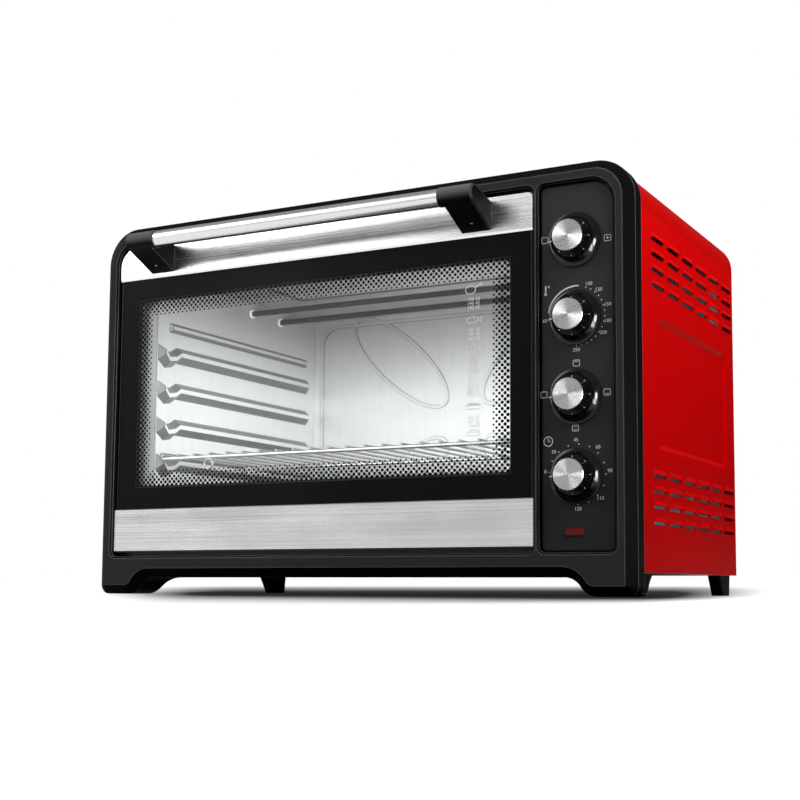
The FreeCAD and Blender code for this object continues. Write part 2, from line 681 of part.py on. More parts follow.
def door_glass():
    wire = rounded_wire(
        DOOR_LEFT + GLASS_INSET, DOOR_RIGHT - GLASS_INSET, GLASS_BOTTOM_Z, DOOR_TOP - GLASS_INSET,
        (LIP_BEVEL, LIP_BEVEL, LIP_BEVEL, DOOR_CORNER_R - GLASS_INSET), GLASS_Y,
    )
    return cut(prism(wire, GLASS_THICKNESS), screw_holes(0, MOUTH_DEPTH))


def glass_gasket(low):
    """A thin strip that beds the glass against a trim."""
    x0 = DOOR_LEFT + DOOR_CORNER_R
    x1 = DOOR_RIGHT - GLASS_INSET
    y0 = DOOR_FRONT_Y + SHEET
    strip = box(x0, x1, y0, y0 + GASKET_THICKNESS, low, low + GASKET_HEIGHT)
    return cut(strip, screw_holes(y0 - OVERRUN, y0 + OVERRUN))


def door_inner_frame():
    """A pressed ring behind the glass, with a rim round the glass and two ears for the hinge pins."""
    inset = SHEET + CLEARANCE
    plate = prism(door_outline(inset, DOOR_SHEET_Y, DOOR_BOTTOM), DOOR_SHEET)
    rim = prism(door_outline(inset, GLASS_Y, DOOR_BOTTOM), GLASS_THICKNESS)
    bed = door_outline(GLASS_INSET - CLEARANCE, GLASS_Y, DOOR_BOTTOM + DOOR_SHEET)
    rim = rim.cut(prism(bed, GLASS_THICKNESS))
    radii = (WINDOW_CORNER_R,) * 4
    inner = (WINDOW_CORNER_R - DOOR_SHEET,) * 4
    flange = rounded_block(
        WINDOW_LEFT, WINDOW_RIGHT, WINDOW_BOTTOM, WINDOW_TOP, radii,
        DOOR_SHEET_Y, DOOR_REAR_Y + WINDOW_FLANGE,
    )
    window = rounded_block(
        WINDOW_LEFT + DOOR_SHEET, WINDOW_RIGHT - DOOR_SHEET,
        WINDOW_BOTTOM + DOOR_SHEET, WINDOW_TOP - DOOR_SHEET,
        inner, 0, MOUTH_DEPTH,
    )
    ears = []
    for x0 in (DOOR_LEFT + inset, DOOR_RIGHT - inset - DOOR_SHEET):
        round_end = rod(CHEEK_R, V(x0, HINGE_Y, HINGE_Z), X_AXIS, DOOR_SHEET)
        web = box(
            x0, x0 + DOOR_SHEET, HINGE_Y - CHEEK_R + CLEARANCE, HINGE_Y + CHEEK_R,
            HINGE_Z, HINGE_Z + CHEEK_TOP,
        )
        ears += [round_end, web]
    ring = fuse([plate, rim, flange] + ears)
    bore = rod(PIN_R + PIN_CLEARANCE, V(DOOR_LEFT, HINGE_Y, HINGE_Z), X_AXIS, DOOR_RIGHT - DOOR_LEFT)
    return cut(ring, [window, bore] + screw_holes(0, MOUTH_DEPTH))


def hinge_pin(side):
    """A headed pin, pressed into the frame and running in the door's ear."""
    if side < 0:
        start, direction = V(OPENING_LEFT - PIN_BITE, HINGE_Y, HINGE_Z), X_AXIS
    else:
        start, direction = V(OPENING_RIGHT + PIN_BITE, HINGE_Y, HINGE_Z), -X_AXIS
    return rod(PIN_R, start, direction, PIN_BITE + PIN_REACH)


def stay_x(side):
    return DOOR_LEFT + STAY_INSET if side < 0 else DOOR_RIGHT - STAY_INSET_RIGHT


def ring_sector(inner, outer, x0, thickness, start_deg, end_deg):
    """A flat sector about the hinge axis. Angles run from straight up towards the back."""
    def point(radius, degrees):
        a = math.radians(degrees)
        return V(x0, HINGE_Y + radius * math.sin(a), HINGE_Z + radius * math.cos(a))

    middle = (start_deg + end_deg) / 2
    edges = [
        Part.Arc(point(outer, start_deg), point(outer, middle), point(outer, end_deg)).toShape(),
        Part.LineSegment(point(outer, end_deg), point(inner, end_deg)).toShape(),
        Part.Arc(point(inner, end_deg), point(inner, middle), point(inner, start_deg)).toShape(),
        Part.LineSegment(point(inner, start_deg), point(outer, start_deg)).toShape(),
    ]
    return Part.Face(Part.Wire(edges)).extrude(V(thickness, 0, 0))


def door_stay(side):
    """A curved stay, concentric with the hinge, that runs through a slot beside the cavity."""
    inner = STAY_R - STAY_WIDTH / 2
    outer = STAY_R + STAY_WIDTH / 2
    x0 = stay_x(side) - STAY_THICKNESS / 2
    strip = ring_sector(inner, outer, x0, STAY_THICKNESS, 0, STAY_SWEEP_DEG)
    lug = ring_sector(
        outer - SHEET, outer + STAY_LUG, x0, STAY_THICKNESS, STAY_SWEEP_DEG - STAY_LUG_DEG, STAY_SWEEP_DEG
    )
    front = box(-BODY_WIDTH, BODY_WIDTH, 0, DOOR_REAR_Y, 0, BODY_HEIGHT)
    return fuse([strip, lug]).cut(front)


def handle_ends(side):
    """The outer end, the tube's visible end and the way inwards of one handle bracket."""
    outer = DOOR_MID_X + side * HANDLE_HALF
    return outer, outer - side * BRACKET_WIDTH, -side


def handle_bracket(side):
    """A horn that carries the tube: round at the front and spread where it meets the door."""
    outer, shoulder, inward = handle_ends(side)
    x0 = min(outer, shoulder)
    low = V(x0, DOOR_FRONT_Y, BRACKET_BASE_LOW_Z)
    high = V(x0, DOOR_FRONT_Y, BRACKET_BASE_HIGH_Z)
    centre = V(x0, TUBE_Y, TUBE_Z)

    def touch(point, turn):
        reach = point - centre
        distance = reach.Length
        angle = math.atan2(reach.z, reach.y) + turn * math.acos(BRACKET_R / distance)
        return V(x0, centre.y + BRACKET_R * math.cos(angle), centre.z + BRACKET_R * math.sin(angle))

    low_touch = touch(low, -1)
    high_touch = touch(high, 1)
    nose = V(x0, TUBE_Y - BRACKET_R, TUBE_Z)
    edges = [
        Part.LineSegment(low, low_touch).toShape(),
        Part.Arc(low_touch, nose, high_touch).toShape(),
        Part.LineSegment(high_touch, high).toShape(),
        Part.LineSegment(high, low).toShape(),
    ]
    horn = Part.Face(Part.Wire(edges)).extrude(V(BRACKET_WIDTH, 0, 0))
    end_edges = [
        e for e in horn.Edges
        if abs(e.BoundBox.XMin - outer) < FACE_GAP and abs(e.BoundBox.XMax - outer) < FACE_GAP
        and e.BoundBox.YMin < DOOR_FRONT_Y - FACE_GAP
    ]
    horn = horn.makeChamfer(BRACKET_EDGE, end_edges)
    start = V(shoulder, TUBE_Y, TUBE_Z)
    collar = rod(BRACKET_R, start, X_AXIS * inward, BRACKET_COLLAR)
    whole = fuse([horn, collar])
    seat = rod(
        TUBE_R + PIN_CLEARANCE, V(shoulder - inward * TUBE_SEAT, TUBE_Y, TUBE_Z), X_AXIS * inward,
        TUBE_SEAT + BRACKET_COLLAR + OVERRUN,
    )
    holes = [
        rod(HANDLE_SCREW_R + PIN_CLEARANCE, V(x, DOOR_FRONT_Y - HANDLE_SCREW_REACH, z), Y_AXIS,
            HANDLE_SCREW_REACH + OVERRUN)
        for x, z in handle_screw_places()
    ]
    return cut(whole, [seat] + holes)


def handle_tube():
    left = handle_ends(-1)[1] - TUBE_SEAT + CLEARANCE
    right = handle_ends(1)[1] + TUBE_SEAT - CLEARANCE
    start = V(left, TUBE_Y, TUBE_Z)
    length = right - left
    return rod(TUBE_R, start, X_AXIS, length).cut(rod(TUBE_R - TUBE_WALL, start, X_AXIS, length))


def headed_screw(place_at, direction, shank_r, shank, head_r, head):
    """A screw whose head bears at place_at and whose shank runs along direction."""
    body = rod(shank_r, place_at, direction, shank)
    cap = rod(head_r, place_at, -direction, head)
    return fuse([body, cap])


def handle_screws():
    shank = DOOR_REAR_Y - DOOR_FRONT_Y + HANDLE_SCREW_REACH - SHEET
    return Part.Compound([
        headed_screw(
            V(x, DOOR_REAR_Y, z), -Y_AXIS, HANDLE_SCREW_R, shank, HANDLE_SCREW_HEAD_R, HANDLE_SCREW_HEAD,
        )
        for x, z in handle_screw_places()
    ])


def turned(points, x, z):
    """A solid of revolution about the line through (x, z) along the depth. points: radius and depth."""
    edges = Part.makePolygon([V(x + r, y, z) for r, y in points] + [V(x + points[0][0], points[0][1], z)])
    return Part.Face(edges).revolve(V(x, 0, z), Y_AXIS, 360)


def knob_body(index):
    """A glossy skirt that flares to the panel, a collar and a plain grip, hollow behind round a hub."""
    x, z = knob_centre(index)
    back = PANEL_Y - KNOB_GAP
    step = back - SKIRT_HEIGHT
    front = back - KNOB_HEIGHT
    rim = back - SKIRT_RIM
    outline = [
        Part.LineSegment(V(x, back, z), V(x + SKIRT_R, back, z)).toShape(),
        Part.LineSegment(V(x + SKIRT_R, back, z), V(x + SKIRT_R, rim, z)).toShape(),
        Part.Arc(
            V(x + SKIRT_R, rim, z),
            V(x + (SKIRT_R + COLLAR_R * 2) / 3, (rim * 2 + step) / 3, z),
            V(x + COLLAR_R, step, z),
        ).toShape(),
        Part.LineSegment(V(x + COLLAR_R, step, z), V(x + GRIP_R, step, z)).toShape(),
        Part.LineSegment(V(x + GRIP_R, step, z), V(x + GRIP_R, front, z)).toShape(),
        Part.LineSegment(V(x + GRIP_R, front, z), V(x, front, z)).toShape(),
        Part.LineSegment(V(x, front, z), V(x, back, z)).toShape(),
    ]
    solid = Part.Face(Part.Wire(outline)).revolve(V(x, 0, z), Y_AXIS, 360)
    depth = KNOB_HEIGHT - KNOB_FACE_WALL
    pocket = rod(HUB_POCKET_R, V(x, back, z), -Y_AXIS, depth)
    pocket = pocket.cut(rod(HUB_R, V(x, back, z), -Y_AXIS, depth))
    bore = rod(SHAFT_R + SHAFT_CLEARANCE, V(x, back, z), -Y_AXIS, SHAFT_SEAT + SHAFT_CLEARANCE)
    return cut(solid, [pocket, bore])


def knob_cap(index):
    x, z = knob_centre(index)
    seat = PANEL_Y - KNOB_GAP - KNOB_HEIGHT
    points = (
        (0, seat), (CAP_R, seat), (CAP_R, seat - CAP_THICKNESS + CAP_EDGE),
        (CAP_R - CAP_EDGE, seat - CAP_THICKNESS), (0, seat - CAP_THICKNESS),
    )
    return turned(points, x, z)


def control_depth(index):
    return TIMER_DEPTH if CONTROLS[index] == "timer" else SWITCH_DEPTH


def control_back(index):
    return PANEL_Y + PANEL_THICKNESS + control_depth(index)


def knob_shaft(index):
    """A shaft with a flat, from inside the control to inside the knob's hub."""
    x, z = knob_centre(index)
    front = PANEL_Y - KNOB_GAP - SHAFT_SEAT
    rear = PANEL_Y + PANEL_THICKNESS + SHAFT_TAIL - CLEARANCE
    shaft = rod(SHAFT_R, V(x, front, z), Y_AXIS, rear - front)
    flat = box(
        x - SHAFT_R, x + SHAFT_R, front - OVERRUN, PANEL_Y - KNOB_GAP, z + SHAFT_R / 2, z + SHAFT_R + OVERRUN
    )
    return shaft.cut(flat)


def control_body(index):
    """The closed case of one control, with its shaft's bore."""
    x, z = knob_centre(index)
    seat = PANEL_Y + PANEL_THICKNESS
    if CONTROLS[index] == "timer":
        half = TIMER_SIZE / 2
        radii = (TIMER_EDGE_R,) * 4
        case = rounded_block(x - half, x + half, z - half, z + half, radii, seat, control_back(index))
    else:
        half_w = SWITCH_WIDTH / 2
        half_h = SWITCH_HEIGHT / 2
        case = rounded_block(
            x - half_w, x + half_w, z - half_h, z + half_h, (TIMER_EDGE_R,) * 4,
            seat + SWITCH_BUSH, control_back(index),
        )
        case = fuse([case, rod(SWITCH_BUSH_R, V(x, seat, z), Y_AXIS, SWITCH_BUSH + SHEET)])
    bore = rod(SHAFT_R + SHAFT_CLEARANCE, V(x, seat - OVERRUN, z), Y_AXIS, OVERRUN + SHAFT_TAIL)
    return case.cut(bore)


def timer_bell():
    x, z = knob_centre(CONTROLS.index("timer"))
    back = control_back(CONTROLS.index("timer"))
    mouth = back + BELL_STEM
    cup = rod(BELL_R, V(x, mouth, z), Y_AXIS, BELL_DEPTH)
    rim = [e for e in cup.Edges if e.BoundBox.YMin > mouth + BELL_DEPTH - FACE_GAP]
    cup = cup.makeFillet(BELL_DEPTH / 2, rim)
    hollow = rod(BELL_R - BELL_WALL, V(x, mouth, z), Y_AXIS, BELL_DEPTH - BELL_WALL)
    edge = [e for e in hollow.Edges if e.BoundBox.YMin > mouth + BELL_DEPTH - BELL_WALL - FACE_GAP]
    hollow = hollow.makeFillet(BELL_DEPTH / 2 - BELL_WALL, edge)
    stem = rod(BELL_STEM_R, V(x, back, z), Y_AXIS, BELL_STEM + BELL_DEPTH - BELL_WALL / 2)
    return fuse([cup.cut(hollow), stem])


def pilot_lens():
    """A bevelled red jewel with a stem through the panel."""
    half_w = LENS_WIDTH / 2
    half_h = LENS_HEIGHT / 2
    square = (0,) * 4
    base = rounded_wire(LENS_X - half_w, LENS_X + half_w, LENS_Z - half_h, LENS_Z + half_h, square, PANEL_Y)
    small_w = half_w - LENS_BEVEL
    small_h = half_h - LENS_BEVEL
    top = rounded_wire(
        LENS_X - small_w, LENS_X + small_w, LENS_Z - small_h, LENS_Z + small_h, square, PANEL_Y - LENS_PROUD
    )
    jewel = Part.makeLoft([base, top], True, True)
    stem = box(
        LENS_X - LENS_STEM_WIDTH / 2, LENS_X + LENS_STEM_WIDTH / 2, PANEL_Y, PANEL_Y + LENS_STEM_DEPTH,
        LENS_Z - LENS_STEM_HEIGHT / 2, LENS_Z + LENS_STEM_HEIGHT / 2,
    )
    return fuse([jewel, stem])


def pilot_lamp():
    start = V(LENS_X, PANEL_Y + LENS_STEM_DEPTH + CLEARANCE, LENS_Z)
    return rod(LAMP_R, start, Y_AXIS, LAMP_LENGTH)


def cavity_front():
    """The steel plate round the oven's mouth, with a window for the controls and the stays' slots."""
    outline = frame_outline(MOUTH_DEPTH, INNER_CORNER_R).makeOffset2D(-FRAME_WALL - CLEARANCE)
    plate = Part.Face(outline).extrude(V(0, PLATE_THICKNESS, 0))
    plate = plate.common(
        box(-BODY_WIDTH, BODY_WIDTH, 0, PLATE_REAR_Y, SHELL_BOTTOM_Z + SHEET, BODY_HEIGHT)
    )
    mouth = box(CAVITY_LEFT, CAVITY_RIGHT, 0, FRAME_DEPTH, CAVITY_BOTTOM, CAVITY_TOP)
    controls = rounded_block(
        CONTROL_OPENING_LEFT + FRAME_WALL, CONTROL_OPENING_RIGHT - FRAME_WALL,
        OPENING_BOTTOM + FRAME_WALL, OPENING_TOP - FRAME_WALL * 2, (PLATE_CORNER_R,) * 4, 0, FRAME_DEPTH,
    )
    slots = []
    half = STAY_THICKNESS / 2 + STAY_SLOT_GAP
    inner = STAY_R - STAY_WIDTH / 2 - STAY_SLOT_GAP
    outer = STAY_R + STAY_WIDTH / 2 + STAY_SLOT_GAP
    low = HINGE_Z + math.sqrt(inner ** 2 - (PLATE_REAR_Y - HINGE_Y) ** 2)
    high = HINGE_Z + math.sqrt(outer ** 2 - (MOUTH_DEPTH - HINGE_Y) ** 2)
    for side in (-1, 1):
        x = stay_x(side)
        slots.append(box(x - half, x + half, 0, FRAME_DEPTH, low, high))
    return cut(plate, [mouth, controls] + slots)


def guide_path(drop_top):
    """The upper line of a rack guide, front to back: a notch near the mouth, then a level run."""
    return [
        (GUIDE_FRONT_Y, drop_top), (NOTCH_FRONT_Y, drop_top - NOTCH_DROP_FRONT),
        (NOTCH_REAR_Y, drop_top - NOTCH_DROP_REAR), (NOTCH_RAMP_Y, drop_top),
        (GUIDE_REAR_Y, drop_top),
    ]


def band_wire(x, upper, height, front_taper, rear_taper):
    """A closed outline at x: the upper line, and the same line lowered. The tapers draw its ends in."""
    first = (upper[0][0] + front_taper, upper[0][1])
    last = (upper[-1][0] - rear_taper, upper[-1][1])
    upper = [first] + upper[1:-1] + [last]
    lower = [(y, z - height) for y, z in reversed(upper)]
    points = [V(x, y, z) for y, z in upper + lower]
    return Part.makePolygon(points + [points[0]])


def ridge(x, inward, upper, height, depth, slope):
    """A pressed ridge that stands depth into the cavity, with sloping flanks and sloping ends."""
    base = band_wire(x, upper, height + 2 * slope, 0, 0)
    crest_line = [(y, z - slope) for y, z in upper]
    crest = band_wire(x + inward * depth, crest_line, height, GUIDE_FRONT_TAPER, GUIDE_REAR_TAPER)
    return Part.makeLoft([base, crest], True, True)


def wall_ridges(x, inward):
    ridges = []
    for level in range(GUIDE_COUNT):
        top = GUIDE_TOP_Z - level * GUIDE_PITCH
        ridges.append(ridge(x, inward, guide_path(top), GUIDE_CREST, GUIDE_DEPTH, GUIDE_SLOPE))
    rib_line = [(RIB_FRONT_Y, RIB_Z), (GUIDE_REAR_Y, RIB_Z)]
    ridges.append(ridge(x, inward, rib_line, RIB_HEIGHT - 2 * RIB_SLOPE, RIB_DEPTH, RIB_SLOPE))
    return ridges


def rod_holes(x0, x1):
    holes = []
    for y, z in rod_places():
        holes.append(rod(BUSHING_NECK_R + PIN_CLEARANCE, V(x0, y, z), X_AXIS, x1 - x0))
    return holes


def rod_places():
    upper = [(y, UPPER_ROD_Z) for y in UPPER_ROD_YS]
    lower = [(y, LOWER_ROD_Z) for y in LOWER_ROD_YS]
    return upper + lower


def cavity_side(side):
    """A side wall pressed from one sheet, so each ridge is hollow behind."""
    inward = -side
    face = CAVITY_LEFT if side < 0 else CAVITY_RIGHT
    back = face + side * SHEET
    x0, x1 = sorted((face, back))
    wall = box(x0, x1, PLATE_REAR_Y, CAVITY_BACK_Y + SHEET, CAVITY_BOTTOM, CAVITY_TOP)
    wall = cut(fuse([wall] + wall_ridges(face, inward)), wall_ridges(back, inward))
    keep = box(
        min(back, face + inward * GUIDE_DEPTH), max(back, face + inward * GUIDE_DEPTH),
        PLATE_REAR_Y, CAVITY_BACK_Y + SHEET, CAVITY_BOTTOM, CAVITY_TOP,
    )
    wall = wall.common(keep)
    return cut(wall, rod_holes(x0 - OVERRUN, x1 + OVERRUN))


def cavity_right_wall():
    """The right wall also has the fan's grille, cut as upright slots in a round field."""
    wall = cavity_side(1)
    slots = []
    step = 2 * GRILLE_R / GRILLE_SLOTS
    for index in range(GRILLE_SLOTS):
        y = FAN_Y - GRILLE_R + step * (index + 0.5)
        half = math.sqrt(GRILLE_R ** 2 - (y - FAN_Y) ** 2)
        slots.append(
            box(
                CAVITY_RIGHT - GUIDE_DEPTH - OVERRUN, CAVITY_RIGHT + OVERRUN,
                y - GRILLE_SLOT_WIDTH / 2, y + GRILLE_SLOT_WIDTH / 2, FAN_Z - half, FAN_Z + half,
            )
        )
    return cut(wall, slots)


def cavity_ceiling():
    """The top sheet with one pressed frame line, raised outwards."""
    sheet = box(
        CAVITY_LEFT - SHEET, CAVITY_RIGHT + SHEET, PLATE_REAR_Y, CAVITY_BACK_Y + SHEET,
        CAVITY_TOP, CAVITY_TOP + SHEET,
    )
    x0 = CAVITY_LEFT + CEILING_RIB_INSET
    x1 = CAVITY_RIGHT - CEILING_RIB_INSET
    y0 = PLATE_REAR_Y + CEILING_RIB_SETBACK
    y1 = y0 + CEILING_RIB_LENGTH
    lift = V(0, 0, SHEET)
    outside = pressed_frame_z(x0, x1, y0, y1, CAVITY_TOP, PRESSING_DEPTH, CEILING_RIB_WIDTH)
    raised = outside.copy()
    raised.translate(lift)
    return fuse([sheet, raised]).cut(outside)


def pressed_frame_z(x0, x1, y0, y1, z, depth, width):
    """A closed channel in a level sheet: a raised block less a smaller one, both with sloping flanks."""
    def level_wire(inset, height):
        corners = (
            V(x0 + inset, y0 + inset, height), V(x1 - inset, y0 + inset, height),
            V(x1 - inset, y1 - inset, height), V(x0 + inset, y1 - inset, height),
        )
        return Part.makePolygon(list(corners) + [corners[0]])

    outer = Part.makeLoft([level_wire(0, z), level_wire(depth, z + depth)], True, True)
    inner = Part.makeLoft([level_wire(width, z), level_wire(width - depth, z + depth)], True, True)
    return outer.cut(inner)


def cavity_floor():
    """The bottom sheet, dished so that crumbs and fat stay in it."""
    x0, x1 = CAVITY_LEFT - SHEET, CAVITY_RIGHT + SHEET
    y0, y1 = PLATE_REAR_Y, CAVITY_BACK_Y + SHEET
    sheet = box(x0, x1, y0, y1, CAVITY_BOTTOM - SHEET, CAVITY_BOTTOM)

    def level_wire(inset, height):
        corners = (
            V(x0 + inset, y0 + inset, height), V(x1 - inset, y0 + inset, height),
            V(x1 - inset, y1 - inset, height), V(x0 + inset, y1 - inset, height),
        )
        return Part.makePolygon(list(corners) + [corners[0]])

    rim = level_wire(FLOOR_RIM, CAVITY_BOTTOM)
    low = level_wire(FLOOR_RIM + DISH_SLOPE, CAVITY_BOTTOM - FLOOR_DISH)
    dish = Part.makeLoft([rim, low], True, True)
    under = dish.copy()
    under.translate(V(0, 0, -SHEET))
    return fuse([sheet, under]).cut(dish)


def petal(distance, angle, length, width, y):
    """One ellipse of the pressed cross, lying along a ray from its middle."""
    a = math.radians(angle)
    middle = V(CAVITY_MID_X + distance * math.cos(a), y, CAVITY_MID_Z + distance * math.sin(a))
    ellipse = Part.Ellipse(V(0, 0, 0), length / 2, width / 2)
    wire = Part.Wire(ellipse.toShape())
    wire.rotate(V(0, 0, 0), X_AXIS, 90)
    wire.rotate(V(0, 0, 0), Y_AXIS, -angle)
    wire.translate(middle)
    return wire


def cavity_back():
    """The back sheet, with a pressed frame line and four oval pressings set in a cross."""
    y = CAVITY_BACK_Y
    sheet = box(CAVITY_LEFT, CAVITY_RIGHT, y, y + SHEET, CAVITY_BOTTOM, CAVITY_TOP)
    x0, x1 = CAVITY_LEFT + BACK_FRAME_SIDE, CAVITY_RIGHT - BACK_FRAME_SIDE
    z0, z1 = CAVITY_BOTTOM + BACK_FRAME_SIDE, CAVITY_TOP - BACK_FRAME_TOP
    radii = (BACK_FRAME_R,) * 4
    inner_radii = tuple(r - BACK_FRAME_LINE for r in radii)
    line = rounded_block(x0, x1, z0, z1, radii, y - PETAL_DEPTH, y)
    line = line.cut(
        rounded_block(
            x0 + BACK_FRAME_LINE, x1 - BACK_FRAME_LINE, z0 + BACK_FRAME_LINE, z1 - BACK_FRAME_LINE,
            inner_radii, y - PETAL_DEPTH - OVERRUN, y + OVERRUN,
        )
    )
    petals = []
    for turn in (PETAL_ANGLE_DEG, 180 - PETAL_ANGLE_DEG, 180 + PETAL_ANGLE_DEG, -PETAL_ANGLE_DEG):
        outer = petal(PETAL_OFFSET, turn, PETAL_LENGTH, PETAL_WIDTH, y - PETAL_DEPTH)
        inner = petal(
            PETAL_OFFSET, turn, PETAL_LENGTH - 2 * PETAL_LINE, PETAL_WIDTH - 2 * PETAL_LINE,
            y - PETAL_DEPTH - OVERRUN,
        )
        bead = Part.Face(outer).extrude(V(0, PETAL_DEPTH, 0))
        bead = bead.cut(Part.Face(inner).extrude(V(0, PETAL_DEPTH + 2 * OVERRUN, 0)))
        petals.append(bead)
    return fuse([sheet, line] + petals)


def heater_rod(y, z):
    start = V(CAVITY_LEFT - ROD_TAIL, y, z)
    return rod(ROD_R, start, X_AXIS, CAVITY_RIGHT - CAVITY_LEFT + 2 * ROD_TAIL)


def heater_bushings():
    """Ceramic collars, one at each end of each rod."""
    collars = []
    for y, z in rod_places():
        for side, face in ((-1, CAVITY_LEFT), (1, CAVITY_RIGHT)):
            out = X_AXIS * side
            back = V(face + side * SHEET, y, z)
            front = V(face - side * BUSHING_PROUD, y, z)
            neck = rod(BUSHING_NECK_R, front, out, SHEET + BUSHING_PROUD + FACE_GAP)
            head = rod(BUSHING_R, back, out, BUSHING_HEAD)
            bore = rod(
                ROD_R + PIN_CLEARANCE, front - out * OVERRUN, out,
                OVERRUN * 2 + SHEET + BUSHING_PROUD + BUSHING_HEAD,
            )
            collars.append(fuse([neck, head]).cut(bore))
    return Part.Compound(collars)


def wire_rack():
    """Two rails that ride on the lowest guides, cross bars welded under them, and wires on the bars."""
    crest_x = GUIDE_DEPTH + RACK_RAIL_CREST_GAP
    rail_x = (CAVITY_LEFT + crest_x - FACE_GAP - BAR_R / 2, CAVITY_RIGHT - crest_x + FACE_GAP + BAR_R / 2)
    flank = math.atan2(GUIDE_SLOPE, GUIDE_DEPTH)
    along = rail_x[0] - CAVITY_LEFT
    reach = RAIL_R + CLEARANCE
    rail_z = LOWEST_GUIDE_Z + (reach - along * math.sin(flank)) / math.cos(flank)
    bar_z = rail_z - RAIL_R - BAR_R + RACK_WELD
    wire_z = bar_z + BAR_R + WIRE_R - RACK_WELD
    bar_left = CAVITY_LEFT + crest_x
    bar_right = CAVITY_RIGHT - crest_x
    front = RACK_FRONT_Y - BAR_R
    length = RACK_REAR_Y + BAR_R - front
    pieces = []
    for x in rail_x:
        pieces.append(rod(RAIL_R, V(x, front, rail_z), Y_AXIS, length))
    for y in (RACK_FRONT_Y, (RACK_FRONT_Y + RACK_REAR_Y) / 2, RACK_REAR_Y):
        pieces.append(rod(BAR_R, V(bar_left, y, bar_z), X_AXIS, bar_right - bar_left))
    pitch = (rail_x[1] - rail_x[0]) / (WIRE_COUNT + 1)
    for index in range(WIRE_COUNT):
        x = rail_x[0] + pitch * (index + 1)
        pieces.append(rod(WIRE_R, V(x, front + CLEARANCE, wire_z), Y_AXIS, length - 2 * CLEARANCE))
    pieces.append(rack_loop(CAVITY_LEFT + LOOP_OFFSET, bar_z))
    return fuse(pieces)


def rack_loop(x, bar_z):
    """A small loop under the front bar, where a hook or a tray handle catches."""
    middle = V(x, RACK_FRONT_Y, bar_z - LOOP_DROP)
    ring = Part.makeTorus(LOOP_R, LOOP_WIRE_R, middle, Y_AXIS)
    return ring.fuse(rod(LOOP_WIRE_R, middle + Z_AXIS * LOOP_R, Z_AXIS, LOOP_DROP - LOOP_R))


def fan_housing():
    """A flanged can over the grille, which holds the motor."""
    start = V(CAVITY_RIGHT + SHEET, FAN_Y, FAN_Z)
    can = rod(HOUSING_R, start, X_AXIS, HOUSING_DEPTH)
    hollow = rod(HOUSING_R - SHEET, start - X_AXIS * OVERRUN, X_AXIS, HOUSING_DEPTH - SHEET + OVERRUN)
    flange = rod(HOUSING_FLANGE_R, start, X_AXIS, SHEET)
    hole = rod(MOTOR_NECK_R + CLEARANCE, start, X_AXIS, HOUSING_DEPTH + OVERRUN)
    return fuse([can, flange]).cut(hollow).cut(hole)


def motor_start():
    return V(CAVITY_RIGHT + SHEET + HOUSING_DEPTH, FAN_Y, FAN_Z)


def fan_motor():
    start = motor_start()
    body = rod(MOTOR_R, start, X_AXIS, MOTOR_LENGTH)
    neck = rod(MOTOR_NECK_R, start - X_AXIS * SHEET, X_AXIS, SHEET + MOTOR_NECK)
    bore = rod(
        FAN_SHAFT_R + SHAFT_CLEARANCE, start - X_AXIS * OVERRUN, X_AXIS, OVERRUN + MOTOR_LENGTH - MOTOR_NECK
    )
    return fuse([body, neck]).cut(bore)


def fan_wheel():
    """A hub with flat blades set at a pitch, on the motor's shaft."""
    hub_x = CAVITY_RIGHT + SHEET + FAN_GAP
    hub = rod(FAN_HUB_R, V(hub_x, FAN_Y, FAN_Z), X_AXIS, FAN_WIDTH)
    end = motor_start().x + MOTOR_LENGTH - MOTOR_NECK - CLEARANCE
    shaft = rod(FAN_SHAFT_R, V(hub_x, FAN_Y, FAN_Z), X_AXIS, end - hub_x)
    centre = V(hub_x + FAN_WIDTH / 2, FAN_Y, FAN_Z)
    blades = []
    for index in range(FAN_BLADES):
        inner = FAN_HUB_R - BLADE_THICKNESS
        blade = box(
            -BLADE_THICKNESS / 2, BLADE_THICKNESS / 2, -BLADE_CHORD / 2, BLADE_CHORD / 2, inner, FAN_R
        )
        blade.rotate(V(0, 0, 0), Z_AXIS, BLADE_PITCH_DEG)
        blade.translate(centre)
        blade.rotate(centre, X_AXIS, 360 / FAN_BLADES * index)
        blades.append(blade)
    swept = rod(FAN_R, V(hub_x, FAN_Y, FAN_Z), X_AXIS, FAN_WIDTH)
    return fuse([hub, shaft] + [blade.common(swept) for blade in blades])


def shell_profile(inset, y0, y1):
    """The wrapper's outline filled, drawn in by inset."""
    half = SHELL_HALF - inset
    radius = SHELL_CORNER_R - inset
    return rounded_block(-half, half, SHELL_BOTTOM_Z, SHELL_TOP - inset, (0, 0, radius, radius), y0, y1)


def louvre_places():
    places = []
    for top, pitch in ((UPPER_LOUVRE_Z, UPPER_LOUVRE_PITCH), (LOWER_LOUVRE_Z, LOWER_LOUVRE_PITCH)):
        for row in range(LOUVRE_ROWS):
            for column in range(LOUVRE_COLUMNS):
                places.append((LOUVRE_FIRST_Y + column * LOUVRE_PITCH_Y, top - row * pitch))
    return places


def louvre_hood(x, side, y, z):
    """The lifted strip over one slot: it leans out from the sheet, and both its ends slope back."""
    low = z + LOUVRE_HEIGHT / 2
    high = low + LOUVRE_HOOD_RISE
    base = (
        V(x, y, low), V(x, y + LOUVRE_LENGTH, low), V(x, y + LOUVRE_LENGTH, high), V(x, y, high),
    )
    out = x + side * LOUVRE_HOOD
    near, far = y + LOUVRE_HOOD, y + LOUVRE_LENGTH - LOUVRE_HOOD
    lip = low + LOUVRE_LIP
    crest = (V(out, near, low), V(out, far, low), V(out, far, lip), V(out, near, lip))
    wires = [Part.makePolygon(list(ring) + [ring[0]]) for ring in (base, crest)]
    return Part.makeLoft(wires, True, True)


